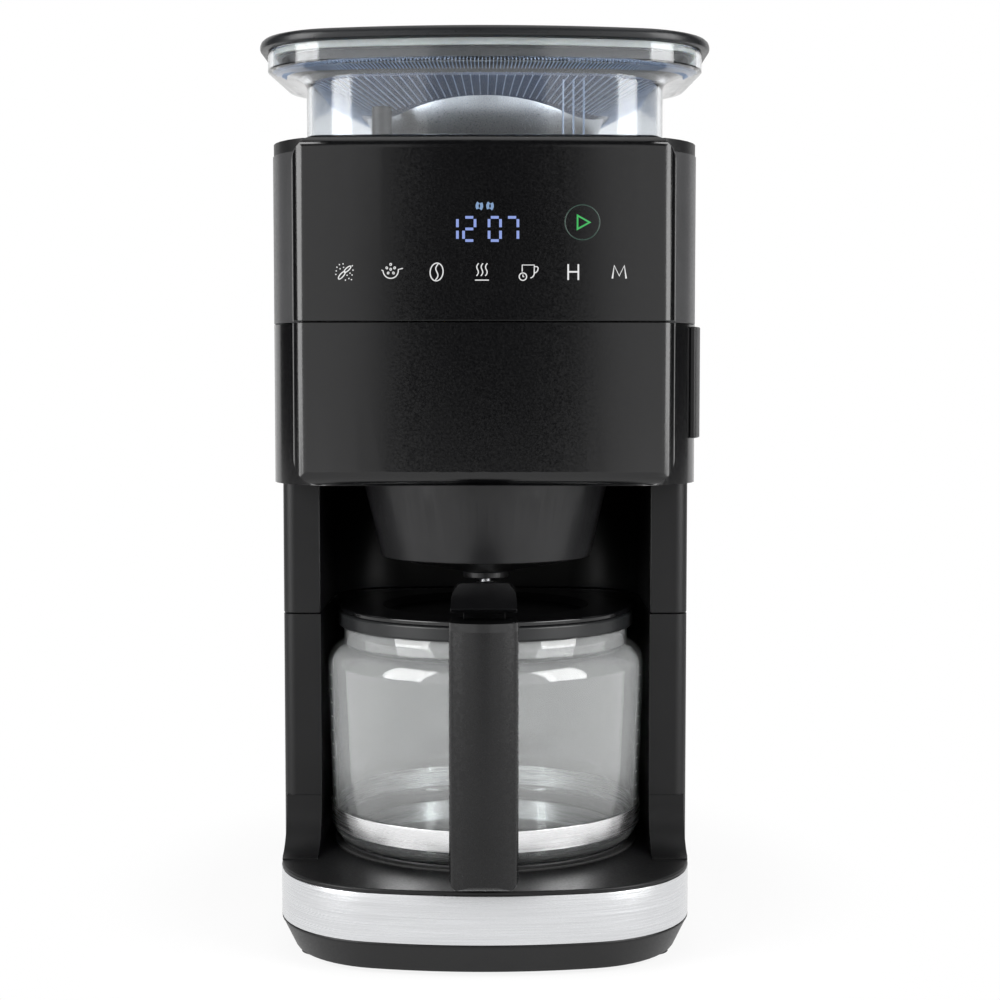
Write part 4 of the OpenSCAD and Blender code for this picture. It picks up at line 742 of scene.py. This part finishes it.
# a rounded rim round a sunk top, and a lip that reaches into the flange; (inset, height) points
def makeHopperLid():
    low, high, lipFoot = [hopperLid[k] for k in ("foot", "top", "lipFoot")]
    edge = [(8, low), (0.7, low), (0.2, low + 0.3), (0, low + 0.9), (0, low + 2.2), (0.5, low + 3.6),
            (1.6, low + 4.6), (3.2, high), (11, high), (12.5, high - 0.3), (14, high - 1.0), (16, high - 1.2)]
    lid = loftRings([lidRing(hopper["lidWidth"], *p) for p in edge])
    near = hopperLid["lipIn"]
    far = near + hopperLid["lipWall"]
    lip = [(near, lipFoot), (near, low), (far, low), (far, lipFoot)]
    loftRings([lidRing(hopper["flangeWidth"], *p) for p in lip], True, lid)
    newPiece("hopperLid", lid, smokedLid, "hopper_lid", ["hopper_lid"])


# glass pot, with cup marks at both sides (mm, degrees)
carafe = {"centre": (0, -29.25), "foot": 41.9, "rim": 148.9, "belly": 125.9, "radius": 77, "footRadius": 74.5,
          "footRound": 7, "footSteps": 10, "shoulder": 11, "shoulderTurn": 75, "shoulderSteps": 12,
          "glass": 2.4, "neck": 68.85, "neckFoot": 10, "innerNeck": 8, "lip": 0.6, "handleSplit": 155.8,
          "ticks": 10, "tickLow": 62, "tickHigh": 122, "tickTurn": 74,
          "tickWidth": 3.2, "tickHeight": 0.5, "tickDepth": 0.1, "tickProud": 0.06}


def glassProfile(inset):
    c = carafe
    bend = (c["footRadius"] - c["footRound"], c["foot"] + c["footRound"])
    side = arcPoints(bend, c["footRound"] - inset, -90, 0, c["footSteps"])
    turn = arcPoints((c["radius"] - c["shoulder"], c["belly"]), c["shoulder"] - inset,
                     0, c["shoulderTurn"], c["shoulderSteps"])
    return [(0, c["foot"] + inset)] + side + turn


def makeCarafe():
    c = carafe
    neck, rim, lip, cy = c["neck"], c["rim"], c["lip"], c["centre"][1]
    bore = neck - c["glass"]
    outer = glassProfile(0) + [(neck, rim - c["neckFoot"]), (neck, rim - lip), (neck - lip, rim)]
    inner = [(bore + lip, rim), (bore, rim - lip), (bore, rim - c["innerNeck"])]
    inner += glassProfile(c["glass"])[::-1]
    newPiece("carafeGlass", turnProfile(outer + inner, c["centre"]),
             borosilicateGlass, "carafe", ["carafe_glass"], 50)
    low = c["foot"] + c["footRound"]   # cup marks follow the slight taper of the glass
    taper = (c["radius"] - c["footRadius"]) / (c["belly"] - low)
    lines = []
    for side in (-1, 1):
        turn = math.radians(side * c["tickTurn"] - 90)
        reach = [(c["footRadius"] + taper * (z - low) + c["tickProud"], z)
                 for z in (c["tickLow"], c["tickHigh"])]
        lines.append([(r * math.cos(turn), cy + r * math.sin(turn), z) for r, z in reach])
    treePiece(bars, "cupMarks", lines, False, greyEnamel, "carafe", "collar_grey", Count=c["ticks"],
              Centre=(0, cy * mm, 0), Inner_Radius=0.0, Depth=c["tickDepth"] * mm, Follow=0.0, Slope=0.0,
              Width=c["tickWidth"] * mm, Height=c["tickHeight"] * mm)
    roundedCopy("carafe_hoop", "glassHoop", satinSteel, "carafe", 0.15)
    roundedCopy("carafe_collar", "carafeCollar", greyPolypropylene, "carafe", 0.3)
    roundedCopy("carafe_handle", "carafeHandle", satinAbs, "carafe", 0.5,
                cut=(c["handleSplit"], False))
    roundedCopy("carafe_handle", "handleCap", glossPolypropylene, "carafe", 0.4,
                cut=(c["handleSplit"], True), nodes=())
    roundedCopy("carafe_lid", "carafeLid", glossPolypropylene, "carafe_lid", 0.3)
    roundedCopy("lid_lever", "lidLever", glossPolypropylene, "carafe_lid", 0.8, 3)


def makeFilter():
    roundedCopy("filter_holder", "filterHolder", satinPolypropylene, "machine", 0.4)
    spring = roundedCopy("valve_spring", "valveSpring", platedSteel, "machine", 0)
    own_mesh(spring)


# lit and printed marks on the bowed touch panel: x across, z up, in mm
panel = {"front": -125.25, "bow": 700, "proud": 0.09, "sunk": 0.05,
         "iconHeight": 309.4, "iconStroke": 0.46, "letterStroke": 0.7, "seedStroke": 0.36,
         "clean": -60.4, "scoop": -39.9, "bean": -20.4, "warm": -0.8, "cup": 19.2, "hour": 38.7,
         "minute": 58.7,
         "digitFoot": 322.3, "digitTop": 333.4, "digitStroke": 1.15, "digitGap": 0.75,
         "digits": [(-15.7, 4.9, "upRight lowRight"), (-9.3, 6.1, "top upRight mid lowLeft foot"),
                    (1.7, 6.1, "top upRight lowRight foot lowLeft upLeft"),
                    (9.1, 6.2, "top upRight lowRight")],
         "strengthPlaces": (-1.9, 2.7), "strengthHeight": 337.7, "strengthStroke": 1.25,
         "playCentre": (42.6, 330.8), "playRing": 7.5, "playStroke": 1.45, "ringStroke": 0.5}


# strokes are (points, closed); they become flat beads that follow the panel
def panelMark(name, strokes, stroke, material):
    curve = bpy.data.curves.new(name, "CURVE")
    curve.dimensions = "3D"
    curve.bevel_depth = stroke / 2 * mm
    curve.bevel_resolution = 2
    curve.use_fill_caps = True
    for points, closed in strokes:
        spline = curve.splines.new("POLY")
        spline.points.add(len(points) - 1)
        for place, (x, z) in zip(spline.points, points):
            place.co = (x * mm, 0, z * mm, 1)
        spline.use_cyclic_u = closed
    mesh = plainMesh(addObject(name, curve))
    high, deep = panel["proud"], panel["sunk"]
    for vert in mesh.vertices:
        x = vert.co.x / mm
        share = vert.co.y / (stroke / 2 * mm)   # -1 in front, 1 behind
        sag = panel["bow"] - math.sqrt(panel["bow"] ** 2 - x * x)
        vert.co.y = (panel["front"] + sag + (deep - high) / 2 + share * (deep + high) / 2) * mm
    dressMesh(name, mesh, material, "machine", angle=60)


def oval(x, z, width, height, tilt=0, steps=28):
    c, s = math.cos(math.radians(tilt)), math.sin(math.radians(tilt))
    ring = []
    for i in range(steps):
        turn = 2 * math.pi * i / steps
        u, v = width / 2 * math.cos(turn), height / 2 * math.sin(turn)
        ring.append((x + u * c - v * s, z + u * s + v * c))
    return ring, True


def wave(x, low, high, swing, lean, steps=16):
    shares = [i / steps for i in range(steps + 1)]
    return [(x + swing * math.sin(2 * math.pi * t) + lean * (t - 0.5), low + (high - low) * t)
            for t in shares], False


# seven-segment digit between x and x + wide
def digit(x, wide, segments):
    half, gap = panel["digitStroke"] / 2, panel["digitGap"]
    low, high = panel["digitFoot"] + half, panel["digitTop"] - half
    left, right, mid = x + half, x + wide - half, (low + high) / 2
    lines = {name: [(left + gap, z), (right - gap, z)]
             for name, z in (("top", high), ("mid", mid), ("foot", low))}
    for name, side in (("Left", left), ("Right", right)):
        lines["up" + name] = [(side, mid + gap), (side, high - gap)]
        lines["low" + name] = [(side, low + gap), (side, mid - gap)]
    return [(lines[s], False) for s in segments.split()]


def makePanelMarks():
    z = panel["iconHeight"]

    def stroke(x0, points):     # open stroke round a sign's centre
        return [(x0 + x, z + h) for x, h in points], False

    x0 = panel["clean"]         # a two-bladed stroke among specks
    icons = [oval(x0 - 1.2, z - 1.3, 1.5, 4.2, -42), oval(x0 + 1.3, z + 1.3, 1.3, 3.8, -48)]
    seeds = [oval(x0 + x, z + h, 0.25, 0.25, 0, 8) for x, h in [
        (-3.3, 2.2), (-2.2, 3.3), (-0.6, 3.6), (-1.9, 1.5), (-3.6, 0.6), (-0.4, 2.1), (3.4, 2.8), (3.7, 0.9),
        (2.4, -0.4), (1.1, -1.3), (3.3, -1.2), (1.9, -2.7), (0.4, -3.4), (3.0, -3.2), (-3.8, -0.9)]]
    x0 = panel["scoop"]         # scoop of beans
    bowl = arcPoints((-0.4, 0.6), 3.3, 0, -180, 18)
    icons.append(stroke(x0, [(4.9, 1.6), (2.9, 1.1)] + bowl + [(-4.4, 0.9)]))
    seeds += [oval(x0 + x, z + h, 0.75, 0.95, tilt, 12) for x, h, tilt in [
        (-0.4, 3.3, 0), (-2.1, 1.8, 30), (1.3, 1.8, -30), (-0.4, 1.2, 0), (-1.5, -0.4, -25), (0.8, -0.4, 25)]]
    x0 = panel["bean"]
    icons += [oval(x0, z, 5.6, 7.7, -6), wave(x0 + 0.1, z - 3.4, z + 3.4, 0.75, 1.2)]
    x0 = panel["warm"]          # keep warm
    icons += [wave(x0 + x, z - 1.7, z + 3.7, 0.55, 0.9) for x in (-1.9, 0, 1.9)]
    icons.append(stroke(x0, [(-3, -3.5), (3, -3.5)]))
    x0 = panel["cup"]           # cup and clock
    bowl = arcPoints((0.6, -0.6), 2.0, 0, -80, 8)
    icons += [stroke(x0, [(-2.6, 0.2), (-2.6, 3.0), (2.6, 3.0), (2.6, -0.4)] + bowl),
              stroke(x0, [(2.6, 2.3), (3.9, 2.3), (4.3, 1.7), (4.1, 0.6), (3.4, -0.2), (2.6, -0.5)]),
              oval(x0 - 2.3, z - 2.0, 3.2, 3.2), stroke(x0, [(-2.3, -1.1), (-2.3, -2.0), (-1.7, -2.0)])]
    letters = [stroke(panel["hour"], line) for line in (
        [(-2.2, -3.4), (-2.2, 3.4)], [(2.2, -3.4), (2.2, 3.4)], [(-2.2, 0.1), (2.2, 0.1)])]
    letters.append(stroke(panel["minute"], [(-3.0, -2.7), (-2.2, 2.9), (0, -1.6), (2.2, 2.9), (3.0, -2.7)]))
    panelMark("panelIcons", icons, panel["iconStroke"], whiteInk)
    panelMark("panelLetters", letters, panel["letterStroke"], whiteInk)
    panelMark("panelSeeds", seeds, panel["seedStroke"], whiteInk)
    clock = [line for place in panel["digits"] for line in digit(*place)]
    panelMark("clockDigits", clock, panel["digitStroke"], blueLight)
    h = panel["strengthHeight"]
    half = [(-0.7, -1.3), (-0.95, -0.5), (-1.0, 0.3), (-0.75, 1.0), (-0.35, 1.45)]
    strength = [([(x + side * u, h + side * v) for u, v in half], False)
                for x in panel["strengthPlaces"] for side in (-1, 1)]      # each bean is two halves
    panelMark("strengthBeans", strength, panel["strengthStroke"], paleBlueLight)
    x, h = panel["playCentre"]
    ring = oval(x, h, 2 * panel["playRing"], 2 * panel["playRing"], 0, 72)
    panelMark("playRing", [ring], panel["ringStroke"], dimGreenLight)
    arrow = [(x - 2.1, h + 2.9), (x + 3.1, h), (x - 2.1, h - 2.9)]
    panelMark("playSign", [(arrow, True)], panel["playStroke"], greenLight)


def finishNodes():
    for material, names in [
            (nitrileRubber, "rubber_feet"), (platedSteel, "door_hinge_pins idler_pin"),
            (platedSteel, "handle_screw lid_hinge_pin tank_lid_pins burr_shaft motor_pinion drip_valve"),
            (groundSteel, "lower_burr upper_burr"), (drawnAluminium, "heater_ring grinder_motor"),
            (siliconeHose, "riser_tube feed_tube hopper_lid_seal valve_seal"),
            (lacqueredBoard, "power_board touch_board display_module"), (clearSan, "water_tank"),
            (satinPolypropylene, "shower_head door_catch cord_gland"), (filterMesh, "mesh_filter"),
            (filledNylon, "gear_plate grinder_chamber grounds_chute"), (texturedAbs, "grind_lever"),
            (naturalAcetal, "burr_gear idler_gear"), (ochreNylon, "adjust_ring")]:
        for name in names.split():
            for place in frame["nodes"][name].material_slots:
                place.material = material


makeBase()
makeHousing()
makeScrews()
print("base and housing made")
makeHopper()
makeHopperFloor()
makeHopperLid()
makeCarafe()
makeFilter()
print("hopper, carafe and filter made")
makePanelMarks()
finishNodes()

# studio: white paper floor and wall, dim cards beside the camera, bright softboxes at the sides, one overhead
studio = {"floorFront": -2.4, "floorBack": 2.6, "halfWidth": 3.0, "wallTop": 3.0, "air": 0.04,
          "shadeShare": 0.14, "shadeNear": 0.55, "shadeFar": 1.0, "shadeWide": 0.22, "shadeDeep": 0.30,
          "sideSoftbox": [(1.25, -0.75, 0.75), (0, -0.05, 0.22), (0.9, 1.4), 30],   # place, aim, size, W
          "frontCard": [(0.66, -1.15, 0.5), (0, -0.1, 0.25), (0.9, 1.4), 4.4],
          "topSoftbox": [(0, 0.1, 1.7), (0, 0, 0.2), (1.4, 1.4), 8]}


# paper that shows white to the camera, to gloss and through glass; near the object the white glow fades with
# distance, which lets the real shadow on the lit paper show and also paints a soft ring of shade
def paperMaterial(name, realAndPaintedShade):
    material = bpy.data.materials.new(name)
    tree = emptyTree(material)
    path = addNode(tree, "ShaderNodeLightPath")
    seen = path.outputs["Is Camera Ray"]
    for ray in ("Is Glossy Ray", "Is Transmission Ray"):
        seen = addNode(tree, "ShaderNodeMath", {0: seen, 1: path.outputs[ray]}, operation="MAXIMUM")
    if realAndPaintedShade:
        where = addNode(tree, "ShaderNodeTexCoord").outputs["Object"]
        scaled = addNode(tree, "ShaderNodeMapping", {
            "Vector": where, "Scale": (1 / studio["shadeWide"], 1 / studio["shadeDeep"], 1)})
        far = addNode(tree, "ShaderNodeVectorMath", {0: scaled}, operation="LENGTH")
        # painted shade: the glow's share drops near the object, a soft darkening by distance alone
        paintedShadeFade = addNode(tree, "ShaderNodeMapRange", {
            "Value": far.outputs["Value"], "From Min": studio["shadeNear"], "From Max": studio["shadeFar"],
            "To Min": 1 - studio["shadeShare"], "To Max": 1.0}, interpolation_type="SMOOTHSTEP")
        seen = addNode(tree, "ShaderNodeMath", {0: seen, 1: paintedShadeFade}, operation="MULTIPLY")
    paint = addNode(tree, "ShaderNodeBsdfDiffuse", {"Color": hexColour("#f2f2f2")})
    glow = addNode(tree, "ShaderNodeEmission", {"Color": hexColour("#ffffff"), "Strength": 1.0})
    mix = addNode(tree, "ShaderNodeMixShader", {0: seen, 1: paint, 2: glow})
    addNode(tree, "ShaderNodeOutputMaterial", {"Surface": mix})
    return material


def stageSheet(name, corners, material):
    mesh = bpy.data.meshes.new(name)
    mesh.from_pydata(corners, [], [(0, 1, 2, 3)])
    mesh.materials.append(material)
    sheet = addObject(name, mesh)


# side -1 mirrors the lamp to the left
def softbox(name, side=1):
    place, aim, size, power = studio[name]
    lamp = bpy.data.lights.new(name, "AREA")
    lamp.shape = "RECTANGLE"
    lamp.size, lamp.size_y = size
    lamp.energy = power
    box = addObject(name, lamp)
    box.location = (place[0] * side, place[1], place[2])
    box.rotation_euler = (Vector(aim) - box.location).to_track_quat("-Z", "Y").to_euler()


def makeStudio():
    s = studio
    w, front, back, top = s["halfWidth"], s["floorFront"], s["floorBack"], s["wallTop"]
    stageSheet("studioFloor", [(-w, front, 0), (w, front, 0), (w, back, 0), (-w, back, 0)],
               paperMaterial("paperFloor", True))
    stageSheet("studioWall", [(-w, back, 0), (w, back, 0), (w, back, top), (-w, back, top)],
               paperMaterial("paperWall", False))
    for side in (-1, 1):
        softbox("sideSoftbox", side)
        softbox("frontCard", side)
    softbox("topSoftbox")
    world = bpy.data.worlds.new("studioAir")
    tree = emptyTree(world)
    path = addNode(tree, "ShaderNodeLightPath")
    seen = addNode(tree, "ShaderNodeMath", {
        0: path.outputs["Is Camera Ray"], 1: path.outputs["Is Transmission Ray"]}, operation="MAXIMUM")
    level = addNode(tree, "ShaderNodeMapRange", {"Value": seen, "To Min": studio["air"], "To Max": 1.0})
    air = addNode(tree, "ShaderNodeBackground", {"Color": hexColour("#ffffff"), "Strength": level})
    addNode(tree, "ShaderNodeOutputWorld", {"Surface": air})
    scene.world = world


# fitted to the photograph's perspective
camera = {"place": (0.007, -0.951, 0.2649), "pitchDown": 3.76, "lens": 68.4, "sensor": 36, "nearest": 0.01}


def makeCamera():
    lens = bpy.data.cameras.new("photoCamera")
    lens.lens = camera["lens"]
    lens.sensor_width = camera["sensor"]
    lens.clip_start = camera["nearest"]
    eye = addObject("photoCamera", lens)
    eye.location = camera["place"]
    eye.rotation_euler = (math.radians(90 - camera["pitchDown"]), 0, 0)
    scene.camera = eye


makeStudio()
makeCamera()
scene.view_settings.view_transform = "Standard"
print("studio and camera made")
